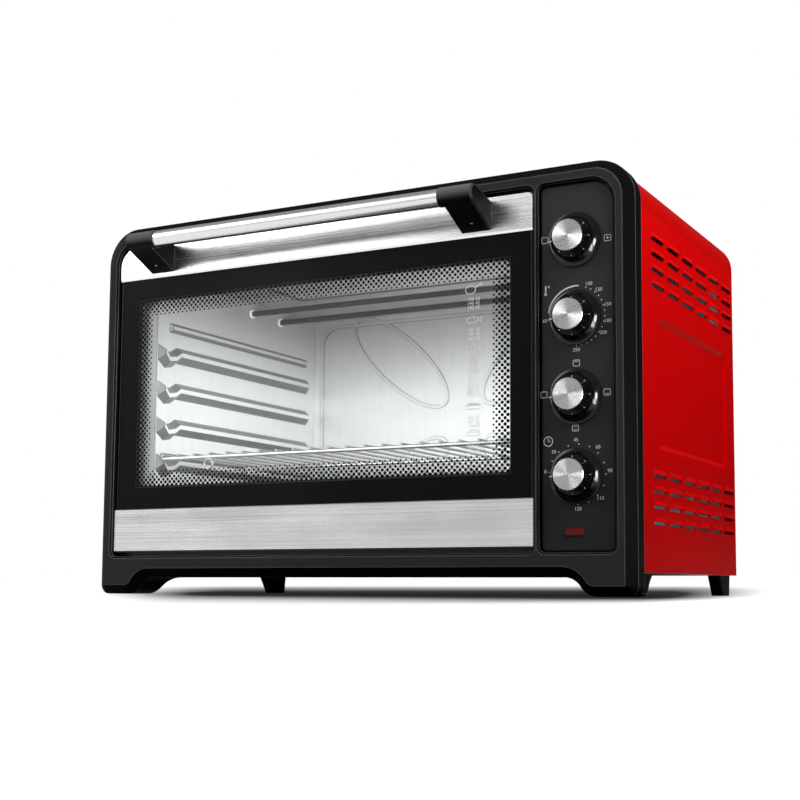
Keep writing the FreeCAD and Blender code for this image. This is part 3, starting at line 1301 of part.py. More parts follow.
def pressed_panel(side):
    """The shallow rounded rectangle pressed into each side: the space it takes from the sheet."""
    def side_wire(x, inset):
        wire = rounded_wire(
            PRESSED_FRONT_Y + inset, PRESSED_REAR_Y - inset, PRESSED_LOW_Z + inset, PRESSED_HIGH_Z - inset,
            (PRESSED_CORNER_R - inset,) * 4, 0,
        )
        wire.rotate(V(0, 0, 0), Z_AXIS, 90)
        wire.translate(V(x, 0, 0))
        return wire

    outer = side_wire(side * SHELL_HALF, 0)
    inner = side_wire(side * (SHELL_HALF - PRESSED_DEPTH), PRESSED_SLOPE)
    return Part.makeLoft([outer, inner], True, True)


def shell_wrap():
    """One painted sheet over both sides and the top, with louvres and a pressed panel on each side."""
    skin = shell_profile(0, SHELL_FRONT_Y, SHELL_REAR_Y)
    inside = shell_profile(SHEET, SHELL_FRONT_Y - OVERRUN, SHELL_REAR_Y - SHEET)
    window = shell_profile(SHELL_FLANGE, SHELL_FRONT_Y, SHELL_REAR_Y + OVERRUN)
    skin = skin.cut(inside).cut(window)
    recesses = [pressed_panel(side) for side in (-1, 1)]
    backs = []
    for side, recess in zip((-1, 1), recesses):
        behind = recess.copy()
        behind.translate(V(-side * SHEET, 0, 0))
        backs.append(behind)
    skin = cut(fuse([skin] + backs), recesses)
    hoods = []
    openings = []
    for y, z in louvre_places():
        for side in (-1, 1):
            x0, x1 = sorted((side * (SHELL_HALF - SHEET - OVERRUN), side * (SHELL_HALF + OVERRUN)))
            hoods.append(louvre_hood(side * SHELL_HALF, side, y, z))
            openings.append(louvre_hood(side * (SHELL_HALF - SHEET), side, y, z))
            openings.append(
                box(x0, x1, y, y + LOUVRE_LENGTH, z - LOUVRE_HEIGHT / 2, z + LOUVRE_HEIGHT / 2)
            )
    return cut(skin.fuse(hoods), openings)


def cover_screw_places():
    half = SHELL_HALF - SHELL_FLANGE / 2
    top = SHELL_TOP - SHELL_FLANGE / 2
    low = SHELL_BOTTOM_Z + SHELL_FLANGE * 2
    middle = (top + low) / 2
    places = [(side * half, z) for side in (-1, 1) for z in (low, middle)]
    places += [(x, top) for x in (-half * COVER_SCREW_SHARE, 0, half * COVER_SCREW_SHARE)]
    return places


def rear_cover():
    """The back sheet with two rows of upright vents, screw holes and the cord's inlet."""
    margin = COVER_MARGIN
    half = SHELL_HALF - margin
    radius = SHELL_CORNER_R - margin
    low = SHELL_BOTTOM_Z + COVER_BOTTOM_LIFT
    sheet = rounded_block(
        -half, half, low, SHELL_TOP - margin, (0, 0, radius, radius), SHELL_REAR_Y, COVER_REAR_Y
    )
    inner = SHELL_HALF - SHELL_FLANGE - margin
    lip = box(-inner, inner, SHELL_REAR_Y - COVER_FLANGE, SHELL_REAR_Y, low, low + SHEET)
    holes = []
    for index in range(VENT_COLUMNS):
        x = (index - (VENT_COLUMNS - 1) / 2) * VENT_PITCH
        for z in (VENT_HIGH_Z, VENT_LOW_Z):
            holes.append(
                box(
                    x - VENT_WIDTH / 2, x + VENT_WIDTH / 2, SHELL_REAR_Y - OVERRUN, COVER_REAR_Y + OVERRUN,
                    z - VENT_HEIGHT / 2, z + VENT_HEIGHT / 2,
                )
            )
    holes += screw_holes_in_shell()
    inlet = V(INLET_X, SHELL_REAR_Y - OVERRUN, INLET_Z)
    holes.append(rod(INLET_R + PIN_CLEARANCE, inlet, Y_AXIS, OVERRUN * 2))
    return cut(fuse([sheet, lip]), holes)


def cord_inlet():
    """A flanged bush in the back, bare, because no cord is made."""
    start = V(INLET_X, COVER_REAR_Y, INLET_Z)
    flange = rod(INLET_FLANGE_R, start, Y_AXIS, INLET_FLANGE - COVER_SCREW_HEAD / 2)
    neck = rod(INLET_R, start, -Y_AXIS, SHEET + INLET_NECK)
    bore = rod(INLET_BORE_R, start - Y_AXIS * (SHEET + INLET_NECK + OVERRUN), Y_AXIS, OVERRUN * 4)
    return fuse([flange, neck]).cut(bore)


def screw_holes_in_shell():
    return [
        rod(COVER_SCREW_R + PIN_CLEARANCE, V(x, SHELL_REAR_Y - OVERRUN, z), Y_AXIS, OVERRUN * 2)
        for x, z in cover_screw_places()
    ]


def cover_screws():
    return Part.Compound([
        headed_screw(
            V(x, COVER_REAR_Y, z), -Y_AXIS, COVER_SCREW_R, COVER_SCREW_REACH,
            COVER_SCREW_HEAD_R, COVER_SCREW_HEAD,
        )
        for x, z in cover_screw_places()
    ])


def rear_foot_places():
    x = SHELL_HALF - REAR_FOOT_INSET - REAR_FOOT_WIDTH / 2
    y = REAR_FOOT_TOP_Y + (REAR_FOOT_TOP_LENGTH + REAR_FOOT_FRONT_SLOPE - REAR_FOOT_REAR_SLOPE) / 2
    return [(-x, y), (x, y)]


def base_pan():
    """The bottom sheet, turned up at both sides inside the wrapper, with cooling slots."""
    half = SHELL_HALF - SHEET - FACE_GAP
    y0 = PLATE_REAR_Y + FACE_GAP
    y1 = SHELL_REAR_Y - SHEET - FACE_GAP
    z = SHELL_BOTTOM_Z
    low_front = FOOT_FLARE_Y + CLEARANCE
    sheet = box(-half, half, y0, y1, z, z + SHEET)
    sides = [
        box(-half, -half + SHEET, y0 + OVERRUN, y1, z, z + PAN_FLANGE),
        box(half - SHEET, half, y0 + OVERRUN, y1, z, z + PAN_FLANGE),
    ]
    holes = []
    for index in range(PAN_SLOTS):
        x = CAVITY_MID_X + (index - (PAN_SLOTS - 1) / 2) * PAN_SLOT_PITCH
        for y in (low_front + OVERRUN, y1 - low_front - PAN_SLOT_LENGTH):
            holes.append(
                box(
                    x - PAN_SLOT_WIDTH / 2, x + PAN_SLOT_WIDTH / 2, y, y + PAN_SLOT_LENGTH,
                    z - SHEET, z + OVERRUN,
                )
            )
    for x, y in rear_foot_places():
        holes.append(rod(FOOT_SCREW_R + PIN_CLEARANCE, V(x, y, z - OVERRUN), Z_AXIS, OVERRUN * 2))
    return cut(fuse([sheet] + sides), holes)


def rear_foot(x, y):
    """A narrow moulded foot with a raked front and a counterbored screw hole."""
    rear = REAR_FOOT_TOP_Y + REAR_FOOT_TOP_LENGTH
    profile = (
        (REAR_FOOT_TOP_Y, SHELL_BOTTOM_Z), (rear, SHELL_BOTTOM_Z),
        (rear - REAR_FOOT_REAR_SLOPE, 0), (REAR_FOOT_TOP_Y + REAR_FOOT_FRONT_SLOPE, 0),
    )
    block = yz_prism(profile, x - REAR_FOOT_WIDTH / 2, x + REAR_FOOT_WIDTH / 2)
    upright = [e for e in block.Edges if e.BoundBox.ZLength > SHELL_BOTTOM_Z / 2]
    block = block.makeFillet(REAR_FOOT_EDGE_R, upright)
    hole = rod(FOOT_SCREW_R + PIN_CLEARANCE, V(x, y, 0), Z_AXIS, SHELL_BOTTOM_Z + OVERRUN)
    recess = rod(FOOT_RECESS_R, V(x, y, 0), Z_AXIS, FOOT_RECESS)
    return cut(block, [hole, recess])


def foot_screws():
    return Part.Compound([
        headed_screw(
            V(x, y, FOOT_RECESS), Z_AXIS, FOOT_SCREW_R, SHELL_BOTTOM_Z - FOOT_RECESS + FOOT_SCREW_TIP,
            FOOT_SCREW_HEAD_R, FOOT_SCREW_HEAD,
        )
        for x, y in rear_foot_places()
    ])


def build_body():
    export("front_frame", front_frame())
    export("control_panel", control_panel())
    export("cavity_front", cavity_front())
    export("cavity_left_wall", cavity_side(-1))
    export("cavity_right_wall", cavity_right_wall())
    export("cavity_ceiling", cavity_ceiling())
    export("cavity_floor", cavity_floor())
    export("cavity_back", cavity_back())
    for name, ys, z in (("upper", UPPER_ROD_YS, UPPER_ROD_Z), ("lower", LOWER_ROD_YS, LOWER_ROD_Z)):
        for place_name, y in zip(("front", "rear"), ys):
            export(name + "_heater_" + place_name, heater_rod(y, z))
    export("heater_bushings", heater_bushings())
    export("shell_wrap", cut(shell_wrap(), screw_holes_in_shell()))
    export("rear_cover", rear_cover())
    export("cover_screws", cover_screws())
    export("cord_inlet", cord_inlet())
    export("base_pan", base_pan())
    for name, (x, y) in zip(("left", "right"), rear_foot_places()):
        export("rear_foot_" + name, rear_foot(x, y))
    export("foot_screws", foot_screws())
    export("pilot_lens", pilot_lens())
    export("pilot_lamp", pilot_lamp())
    export("hinge_pin_left", hinge_pin(-1))
    export("hinge_pin_right", hinge_pin(1))


def build_door():
    export("door_glass", door_glass())
    export("door_top_trim", door_top_trim())
    export("door_bottom_trim", door_bottom_trim())
    export("glass_gasket_top", glass_gasket(TOP_TRIM_BOTTOM_Z + TRIM_LIP + CLEARANCE))
    export("glass_gasket_bottom", glass_gasket(BOTTOM_TRIM_TOP_Z - GASKET_HEIGHT))
    export("door_inner_frame", door_inner_frame())
    export("door_stay_left", door_stay(-1))
    export("door_stay_right", door_stay(1))
    export("handle_tube", handle_tube())
    export("handle_bracket_left", handle_bracket(-1))
    export("handle_bracket_right", handle_bracket(1))
    export("handle_screws", handle_screws())


def build_controls():
    cases = ("convection_switch", "thermostat", "heater_switch", "timer")
    for index, name in enumerate(CONTROLS):
        export(name + "_knob", knob_body(index))
        export(name + "_cap", knob_cap(index))
        export(name + "_shaft", knob_shaft(index))
        export(cases[index], control_body(index))
    export("timer_bell", timer_bell())


def build_inside():
    export("wire_rack", wire_rack())
    export("fan_housing", fan_housing())
    export("fan_motor", fan_motor())
    export("fan_wheel", fan_wheel())


os.makedirs("parts", exist_ok=True)
build_body()
build_door()
build_controls()
build_inside()
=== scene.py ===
import json
import math

import bmesh
import bpy
from mathutils import Matrix, Vector


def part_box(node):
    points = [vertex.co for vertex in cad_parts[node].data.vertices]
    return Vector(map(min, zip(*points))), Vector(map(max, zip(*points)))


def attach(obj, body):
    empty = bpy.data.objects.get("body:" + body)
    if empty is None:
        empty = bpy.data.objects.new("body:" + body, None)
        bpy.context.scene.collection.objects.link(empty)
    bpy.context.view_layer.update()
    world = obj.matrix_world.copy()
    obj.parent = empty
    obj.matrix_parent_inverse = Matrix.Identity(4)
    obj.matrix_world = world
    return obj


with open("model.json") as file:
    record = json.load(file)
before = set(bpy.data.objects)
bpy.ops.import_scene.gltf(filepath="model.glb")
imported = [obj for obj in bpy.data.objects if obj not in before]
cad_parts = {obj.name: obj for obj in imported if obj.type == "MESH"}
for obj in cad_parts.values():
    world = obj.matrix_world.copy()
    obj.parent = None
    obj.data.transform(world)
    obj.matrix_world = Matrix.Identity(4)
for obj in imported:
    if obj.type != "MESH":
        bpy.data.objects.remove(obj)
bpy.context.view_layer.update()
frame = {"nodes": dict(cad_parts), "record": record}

MM = 0.001

# Camera, as fitted to the photograph: it stands almost on the counter and looks slightly up, and the
# picture's middle is a little off the lens's axis
CAMERA_AT = Vector((0.68044, -1.23961, 0.00776))
CAMERA_TURN = 27.249
CAMERA_PITCH = 5.425
CAMERA_ROLL = 0.229
CAMERA_LENS = 60.4
CAMERA_SHIFT = (-0.06, 0.075)
CAMERA_NEAR = 0.01
SENSOR = 36.0

# Printed border of the door's glass, and the dots that shrink towards its clear middle
PRINT_GAP = 0.06 * MM
PRINT_UNDER_TRIM = 2.0 * MM
PRINT_LEFT = -252.3 * MM
PRINT_RIGHT = 179.6 * MM
PRINT_BOTTOM = 109.5 * MM
PRINT_TOP = 309.7 * MM
DOT_PITCH = 5.65 * MM
DOT_FIELD = 18.2 * MM
DOT_R = 1.78 * MM
DOT_SHRINK_SHARE = 0.48
DOT_SHRINK_POWER = 2.4
DOT_SIDES = 10

# Generic cooking marks on the glass: columns of a pictogram and the degrees and minutes under it
MARK_X = 141.8 * MM
MARK_SIZE = 20.0 * MM
MARK_LINE = 0.8 * MM
MARK_NUMBER = 4.8 * MM
MARK_LINES = ((-9.4 * MM, "30"), (-13.4 * MM, "45"), (-17.4 * MM, "60"))
MARK_ROWS = ((282.5 * MM, "190", "drumstick"), (253.9 * MM, "180", "fish"), (227.4 * MM, "170", "loaf"),
             (201.9 * MM, "200", "cup"), (172.7 * MM, "160", "tray"), (148.5 * MM, "220", "loaf"))

# Strokes of each pictogram, with places and radii as shares of MARK_SIZE from its middle. An arc has its
# middle and radius, the angles that it runs between, and its steps
FULL_TURN = (0, 360)
HALF_TURN = (0, 180)
PICTOGRAM_SHARES = {
    "drumstick": (
        {"arc": (-0.16, -0.02, 0.26), "turn": FULL_TURN, "steps": 22, "squash": 0.72},
        {"points": ((0.08, 0.08), (0.34, 0.2)), "thickness": 1.6},
        {"arc": (0.38, 0.22, 0.06), "turn": FULL_TURN, "steps": 10},
    ),
    "fish": (
        {"arc": (-0.06, 0.0, 0.30), "turn": FULL_TURN, "steps": 22, "squash": 0.5},
        {"points": ((0.24, 0.0), (0.42, 0.14), (0.38, -0.14)), "closed": True},
        {"arc": (-0.08, 0.0, 0.14), "turn": (20, 160), "steps": 8},
    ),
    "loaf": (
        {"arc": (0.0, -0.12, 0.36), "turn": HALF_TURN, "steps": 18, "squash": 0.8},
        {"points": ((-0.36, -0.12), (0.36, -0.12))},
        {"points": ((-0.14, -0.02), (-0.08, 0.12))},
        {"points": ((0.04, -0.02), (0.10, 0.12))},
        {"points": ((0.2, -0.02), (0.26, 0.12))},
    ),
    "cup": (
        {"points": ((-0.28, 0.14), (-0.18, -0.2), (0.18, -0.2), (0.28, 0.14)), "closed": True},
        {"arc": (0.0, 0.14, 0.26), "turn": HALF_TURN, "steps": 14, "squash": 0.5},
    ),
    "tray": (
        {"points": ((-0.4, 0.08), (-0.32, -0.1), (0.32, -0.1), (0.4, 0.08)), "closed": True},
        {"arc": (-0.16, 0.08, 0.08), "turn": HALF_TURN, "steps": 8},
        {"arc": (0.0, 0.08, 0.08), "turn": HALF_TURN, "steps": 8},
        {"arc": (0.16, 0.08, 0.08), "turn": HALF_TURN, "steps": 8},
    ),
}

# Legends on the control panel. Their places are from each knob's axis, and clock angles run in degrees
# clockwise from nine o'clock round a middle that lies a little off that axis
RING_AT = (1.15 * MM, 1.3 * MM)
LEGEND_R = 30.4 * MM
LEGEND_NUMBER = 4.6 * MM
LEGEND_LINE = 0.55 * MM
DOT_RING_R = 26.7 * MM
LEGEND_DOT_R = 0.62 * MM
LEGEND_DOT_SIDES = 8

# Oven icons: a rounded square, with heater bars at heights given as shares of its half height
ICON_SIZE = 6.0 * MM
ICON_TALL_SHARE = 0.9
ICON_CORNER_SHARE = 0.3
ICON_CORNER_STEPS = 3
ICON_BAR_SHARE = 0.6
ICON_BAR_LINE = 0.9 * LEGEND_LINE
PLAIN_ICON_AT = (-29.1 * MM, 2.4 * MM)
FAN_ICON_AT = (30.9 * MM, -1.9 * MM)
FAN_ICON_DOT_R = 1.0 * MM
HEATER_ICONS = ((-30.3 * MM, 3.0 * MM, ()), (0.9 * MM, 29.6 * MM, (0.5,)), (29.4 * MM, 1.9 * MM, (-0.5,)),
                (-0.3 * MM, -28.3 * MM, (0.5, -0.5)))

# Temperature legends, with a sweep beside the low end and a thermometer above it
TEMPERATURE_NUMBERS = (("60", -4), ("100", 113), ("120", 134), ("150", 165), ("180", 193), ("200", 214),
                       ("250", 270.5))
TEMPERATURE_OFF_DOT = -4
TEMPERATURE_DOTS = 16
TEMPERATURE_DOT_START = 109.8
TEMPERATURE_DOT_STEP = 10.7
SWEEP_R = 27.3 * MM
SWEEP_TURN = (10, 95)
SWEEP_STEPS = 30
SWEEP_LINE = 1.3 * MM
THERMOMETER_X = -28.4 * MM
THERMOMETER_BOTTOM = 23.5 * MM
THERMOMETER_TOP = 31.0 * MM
THERMOMETER_LINE = 2.4 * LEGEND_LINE
THERMOMETER_BULB_R = 1.4 * MM
THERMOMETER_BULB_SIDES = 12
DEGREE_AT = (-25.4 * MM, 30.0 * MM)
DEGREE_R = 0.8 * MM
DEGREE_STEPS = 8

# Timer legends, in minutes, with a small clock face above the low end
TIMER_NUMBERS = (("0", 6), ("30", 43), ("45", 88), ("60", 130), ("90", 176), ("110", 225), ("120", 269))
TIMER_DOTS = 13
TIMER_DOT_START = 6
TIMER_DOT_STEP = 21.9
CLOCK_AT = (-26.3 * MM, 31.5 * MM)
CLOCK_R = 4.2 * MM
CLOCK_STEPS = 26
CLOCK_LINE = 1.4 * LEGEND_LINE
CLOCK_LONG_HAND = 2.8 * MM
CLOCK_SHORT_HAND = 2.3 * MM

# The knobs' flared skirt and collar, which their marks follow. Depths are forward from the knob's back
RIM_DEPTH = 1.2 * MM
COLLAR_R = 17.6 * MM
COLLAR_DEPTH = 8.0 * MM
SKIRT_SAG_IN = 0.55 * MM
SKIRT_SAG_BACK = 1.1 * MM
SKIRT_STEPS = 6
POINTER_STEPS = 3
POINTER_WIDTH = 1.0 * MM
MARK_LIFT = 0.12 * MM
TICKS = 8
TICK_WIDTH = 0.7 * MM
TICK_NEAR_R = 15.8 * MM
TICK_FAR_R = 17.3 * MM

# Noise in cells to the metre, and the two values that most of it lies between
FINE_GRAIN = 900.0
PANEL_GRAIN = 1300.0
MOTTLING = 14.0
ORANGE_PEEL = 420.0
PAINT_CLOUDS = 5.0
SPUN_GRAIN = 1500.0
HEATER_GRAIN = 700.0
INK_GRAIN = 300.0
ALONG_X = (5.0, 1300.0, 1300.0)
EVEN = (240.0, 240.0, 240.0)
CAVITY_SCRATCHES = (180.0, 180.0, 14.0)
SHEET_CLOUDS = (9.0, 9.0, 26.0)
GLASS_SMEARS = (6.0, 6.0, 30.0)
LENS_RIBS = (900.0, 200.0, 200.0)
HEAT_TINTS = (12.0, 60.0, 60.0)
NOISE_LOW = 0.3
NOISE_HIGH = 0.7

# Brushed sheet: the weight of its scratches beside its clouding, and their depth
SCRATCH_SHARE = 0.55
CLOUD_SHARE = 0.45
SCRATCH_DEPTH = 0.008 * MM

# Cosines between a face and its rounded edge: at the first an edge isn't lit, and at the second it is
EDGE_FLAT = 0.99
EDGE_LIT = 0.93
EDGE_SAMPLES = 4

FORWARD = (0, -1, 0)
GLASS_IOR = 1.45

# Plastics and like materials that need no function of their own, by slot
PLASTICS = {
    "ceramic": {"color": (0.76, 0.74, 0.68), "roughness": 0.7, "specular": 0.3, "cells": 500.0},
    "door_steel": {"color": (0.02, 0.02, 0.021), "roughness": 0.35, "specular": 0.4, "cells": 500.0},
    "gasket": {"color": (0.02, 0.02, 0.02), "roughness": 0.8, "specular": 0.2, "cells": 600.0},
    "knob_black": {"color": (0.004, 0.004, 0.0042), "roughness": 0.13, "specular": 0.28, "cells": 400.0,
                   "depth": 0.001 * MM},
    "switch_plastic": {"color": (0.10, 0.10, 0.11), "roughness": 0.55, "specular": 0.35},
}

# Bare metals that need no function of their own, by slot
SHEETS = {
    "galvanised": {"color": (0.52, 0.53, 0.54), "roughness": 0.45, "stretch": EVEN},
    "wire_chrome": {"color": (0.72, 0.72, 0.73), "roughness": 0.16, "stretch": EVEN},
    "stainless": {"color": (0.78, 0.78, 0.78), "roughness": 0.24, "stretch": ALONG_X},
    "screw_steel": {"color": (0.60, 0.60, 0.61), "roughness": 0.3, "stretch": EVEN},
    "shaft_steel": {"color": (0.6, 0.6, 0.6), "roughness": 0.32, "stretch": EVEN},
    "timer_case": {"color": (0.55, 0.55, 0.53), "roughness": 0.38, "stretch": EVEN},
}

# Floor, and the shadow painted on it: it lies under the part, fades as it goes back, and widens on its
# way. Each fade starts and ends at these metres from the part's middle
FLOOR_SIZE = 6.0
FLOOR_BEND = 0.6
FLOOR_RISE = 0.042
FLOOR_DROP = 0.2 * MM
SHADOW_AWAY = (-0.458, 0.889, 0.0)
SHADOW_ACROSS = (0.889, 0.458, 0.0)
SHADOW_WIDENING = 0.709
SHADOW_BACK_FADE = (0.2, 3.1)
SHADOW_RIGHT_FADE = (0.25, 0.39)
SHADOW_LEFT_FADE = (-0.20, -0.36)
SHADOW_FRONT_FADE = (0.08, 0.98)
SHADOW_SIDE_FADE = (0.30, 0.60)
SHADOW_DARK = 0.02
SHADOW_STOPS = ((0.22, 0.035), (0.45, 0.30), (0.75, 0.82))
LAMPLIGHT_SHARE = 0.18

# Studio that lights the part: it brightens with height, and towards a window at the left front
STUDIO_HEIGHTS = (0.15, 0.75)
STUDIO_GREYS = (0.06, 0.55)
WINDOW_WAY = (-0.45, -0.88, 0.15)
WINDOW_COSINES = (-0.15, 0.75)
WINDOW_GREYS = (0.0, 0.72)
STUDIO_STRENGTH = 0.62

# Lamps: name, place, what it shines at, width, height, watts, and the rays that don't see it
LAMPS = (
    ("key_left", (-1.6, -1.9, 1.5), (0.0, 0.0, 0.2), 1.2, 1.2, 22, ()),
    ("key_right", (1.1, -0.40, 1.0), (0.3, -0.1, 0.3), 0.6, 0.8, 13, ("visible_glossy",)),
    ("top", (0.0, 0.1, 2.2), (0.0, 0.0, 0.0), 1.6, 1.6, 26, ("visible_glossy",)),
    ("inside", (0.05, -0.11, 0.225), (-0.13, 0.13, 0.20), 0.30, 0.06, 1.85,
     ("visible_camera", "visible_glossy", "visible_transmission")),
)

# White cards that only shiny surfaces see: name, place, what it faces, width, height and strength
CARDS = (
    ("card_right", (1.34, -0.94, 0.24), (0.24, -0.16, 0.2), 0.72, 0.44, 42.0),
    ("card_floor", (0.90, -0.55, 0.01), (0.90, -0.55, 1.0), 0.60, 0.60, 26.0),
    ("card_left", (-1.6, -1.0, 0.5), (0.24, -0.16, 0.2), 0.45, 0.7, 5.0),
)


# Nodes that the materials share

def node_tree(name):
    material = bpy.data.materials.new(name)
    material.use_nodes = True
    tree = material.node_tree
    return material, tree, tree.nodes["Principled BSDF"]


def feed(tree, value, place):
    """Links a socket to a node's input, or writes a plain value there."""
    if isinstance(value, bpy.types.NodeSocket):
        tree.links.new(value, place)
    else:
        place.default_value = value


def combine(tree, operation, *values):
    """One maths operation over sockets and plain numbers."""
    node = tree.nodes.new("ShaderNodeMath")
    node.operation = operation
    for place, value in zip(node.inputs, values):
        feed(tree, value, place)
    return node.outputs[0]


def dot_product(tree, first, second):
    node = tree.nodes.new("ShaderNodeVectorMath")
    node.operation = "DOT_PRODUCT"
    feed(tree, first, node.inputs[0])
    feed(tree, second, node.inputs[1])
    return node.outputs["Value"]


def scaled(tree, color, factor):
    node = tree.nodes.new("ShaderNodeVectorMath")
    node.operation = "SCALE"
    feed(tree, color, node.inputs[0])
    feed(tree, factor, node.inputs["Scale"])
    return node.outputs["Vector"]


def map_range(tree, source, start, end, low=0.0, high=1.0, smooth=False):
    """Runs from low, where the source is at start, to high, where it is at end."""
    node = tree.nodes.new("ShaderNodeMapRange")
    if smooth:
        node.interpolation_type = "SMOOTHSTEP"
    for name, value in (("From Min", start), ("From Max", end), ("To Min", low), ("To Max", high)):
        node.inputs[name].default_value = value
    tree.links.new(source, node.inputs["Value"])
    return node.outputs["Result"]


def split_axes(tree, source):
    node = tree.nodes.new("ShaderNodeSeparateXYZ")
    tree.links.new(source, node.inputs["Vector"])
    return node.outputs


def show_surface(tree, source):
    tree.links.new(source, tree.nodes["Material Output"].inputs["Surface"])


def object_coords(tree, scale):
    """Object coordinates, which are the part's own frame, stretched by scale."""
    coords = tree.nodes.new("ShaderNodeTexCoord")
    mapping = tree.nodes.new("ShaderNodeMapping")
    mapping.inputs["Scale"].default_value = scale
    tree.links.new(coords.outputs["Object"], mapping.inputs["Vector"])
    return mapping.outputs["Vector"]


def noise(tree, scale, detail):
    node = tree.nodes.new("ShaderNodeTexNoise")
    node.inputs["Scale"].default_value = 1.0
    node.inputs["Detail"].default_value = detail
    tree.links.new(object_coords(tree, scale), node.inputs["Vector"])
    return node.outputs["Fac"]


def even_noise(tree, cells, detail=3.0):
    """Noise that is equally fine every way."""
    return noise(tree, (cells,) * 3, detail)


def ramp(tree, source, low, high):
    """A colour that runs from low to high with a noise."""
    node = tree.nodes.new("ShaderNodeValToRGB")
    places = (NOISE_LOW, NOISE_HIGH)
    for element, place, color in zip(node.color_ramp.elements, places, (low, high)):
        element.position = place
        element.color = (*color, 1)
    tree.links.new(source, node.inputs["Fac"])
    return node.outputs["Color"]


def spread(tree, source, low, high):
    """A value that runs from low to high with a noise."""
    return map_range(tree, source, NOISE_LOW, NOISE_HIGH, low, high)


def bump(tree, shader, source, distance):
    node = tree.nodes.new("ShaderNodeBump")
    node.inputs["Strength"].default_value = 1.0
    node.inputs["Distance"].default_value = distance
    tree.links.new(source, node.inputs["Height"])
    tree.links.new(node.outputs["Normal"], shader.inputs["Normal"])


def grey(value):
    return (value,) * 3


def shade(color, factor):
    return tuple(min(1.0, c * factor) for c in color)


def painted_light_by_height(tree, color, low_z, high_z, low, high):
    """Multiplies a colour by a factor that runs from low to high over a height, as painted light or
    shade.
    """
    coords = tree.nodes.new("ShaderNodeTexCoord")
    height = split_axes(tree, coords.outputs["Object"])["Z"]
    return scaled(tree, color, map_range(tree, height, low_z, high_z, low, high))


def seen_by(tree, kinds):
    """1 for rays of the given kinds, and 0 for the rest."""
    path = tree.nodes.new("ShaderNodeLightPath")
    total = path.outputs[kinds[0]]
    for kind in kinds[1:]:
        total = combine(tree, "MAXIMUM", total, path.outputs[kind])
    return total


def facing(tree, direction, start, end):
    """How far a surface of the part faces a direction: 0 at start and 1 at end, both cosines."""
    coords = tree.nodes.new("ShaderNodeTexCoord")
    cosine = dot_product(tree, coords.outputs["Normal"], Vector(direction).normalized())
    return map_range(tree, cosine, start, end, smooth=True)


def blend(tree, factor, first, second):
    node = tree.nodes.new("ShaderNodeMix")
    node.data_type = "RGBA"
    tree.links.new(factor, node.inputs["Factor"])
    for side, color in (("A", first), ("B", second)):
        feed(tree, (*color, 1) if isinstance(color, tuple) else color, node.inputs[side])
    return node.outputs["Result"]


def edge_mask_for_painted_light(tree, radius):
    """1 along the piece's edges and 0 elsewhere, a mask for painted highlights or painted shade there."""
    rounded = tree.nodes.new("ShaderNodeBevel")
    rounded.samples = EDGE_SAMPLES
    rounded.inputs["Radius"].default_value = radius
    geometry = tree.nodes.new("ShaderNodeNewGeometry")
    cosine = dot_product(tree, rounded.outputs["Normal"], geometry.outputs["Normal"])
    return map_range(tree, cosine, EDGE_FLAT, EDGE_LIT, smooth=True)


def coat(tree, shader, color, roughness, specular=None, metallic=None):
    """Links a shader's colour and roughness, and sets its shine as a coating or as bare metal."""
    tree.links.new(color, shader.inputs["Base Color"])
    tree.links.new(roughness, shader.inputs["Roughness"])
    for name, value in (("Specular IOR Level", specular), ("Metallic", metallic)):
        if value is not None:
            shader.inputs[name].default_value = value


def repaint(material, recolor):
    """Changes a material's colour. recolor takes the tree and the plain colour, and gives the new one."""
    tree = material.node_tree
    place = tree.nodes["Principled BSDF"].inputs["Base Color"]
    tree.links.new(recolor(tree, place.links[0].from_socket), place)
    return material


# Materials

def plastic(name, color, roughness, specular, cells=FINE_GRAIN, depth=0.04 * MM):
    """Moulded plastic: a fine grain, faint mottling and a slightly uneven sheen."""
    material, tree, shader = node_tree(name)
    fine = even_noise(tree, cells)
    tint = ramp(tree, even_noise(tree, MOTTLING), shade(color, 0.92), shade(color, 1.08))
    coat(tree, shader, tint, spread(tree, fine, roughness - 0.04, roughness + 0.05), specular=specular)
    bump(tree, shader, fine, depth)
    return material


def frame_plastic():
    """Fine-grained plastic; painted edge highlights, and painted shade on faces not towards the user."""
    material, tree, shader = node_tree("frame_plastic")
    fine = even_noise(tree, FINE_GRAIN)
    broad = even_noise(tree, MOTTLING)
    # Painted shade: faces that don't look towards the user are near black, those that do are dark grey
    front = facing(tree, FORWARD, start=0.85, end=0.98)
    sides = ramp(tree, broad, low=grey(0.0042), high=grey(0.0052))
    face = ramp(tree, broad, low=grey(0.036), high=grey(0.040))
    edges = edge_mask_for_painted_light(tree, radius=1.4 * MM)
    # Painted highlight: a pale grey along the edges
    whole = blend(tree, edges, blend(tree, front, sides, face), (0.15, 0.152, 0.155))
    coat(tree, shader, whole, spread(tree, fine, low=0.38, high=0.46), specular=0.006)
    bump(tree, shader, fine, distance=0.02 * MM)
    return material


def bracket_plastic():
    """The handle's brackets: a satin barrel with painted light on top and painted shade under the horn.
    """
    material, tree, shader = node_tree("handle_black")
    fine = even_noise(tree, FINE_GRAIN)
    up = facing(tree, (0, -0.88, 0.47), start=0.45, end=0.98)
    edges = edge_mask_for_painted_light(tree, radius=0.9 * MM)
    # Painted light: grey on faces that look up and forward, near black below, and a painted highlight on
    # the edges
    whole = blend(tree, edges, blend(tree, up, grey(0.0035), grey(0.11)), grey(0.12))
    coat(tree, shader, whole, spread(tree, fine, low=0.34, high=0.42), specular=0.04)
    bump(tree, shader, fine, distance=0.02 * MM)
    return material


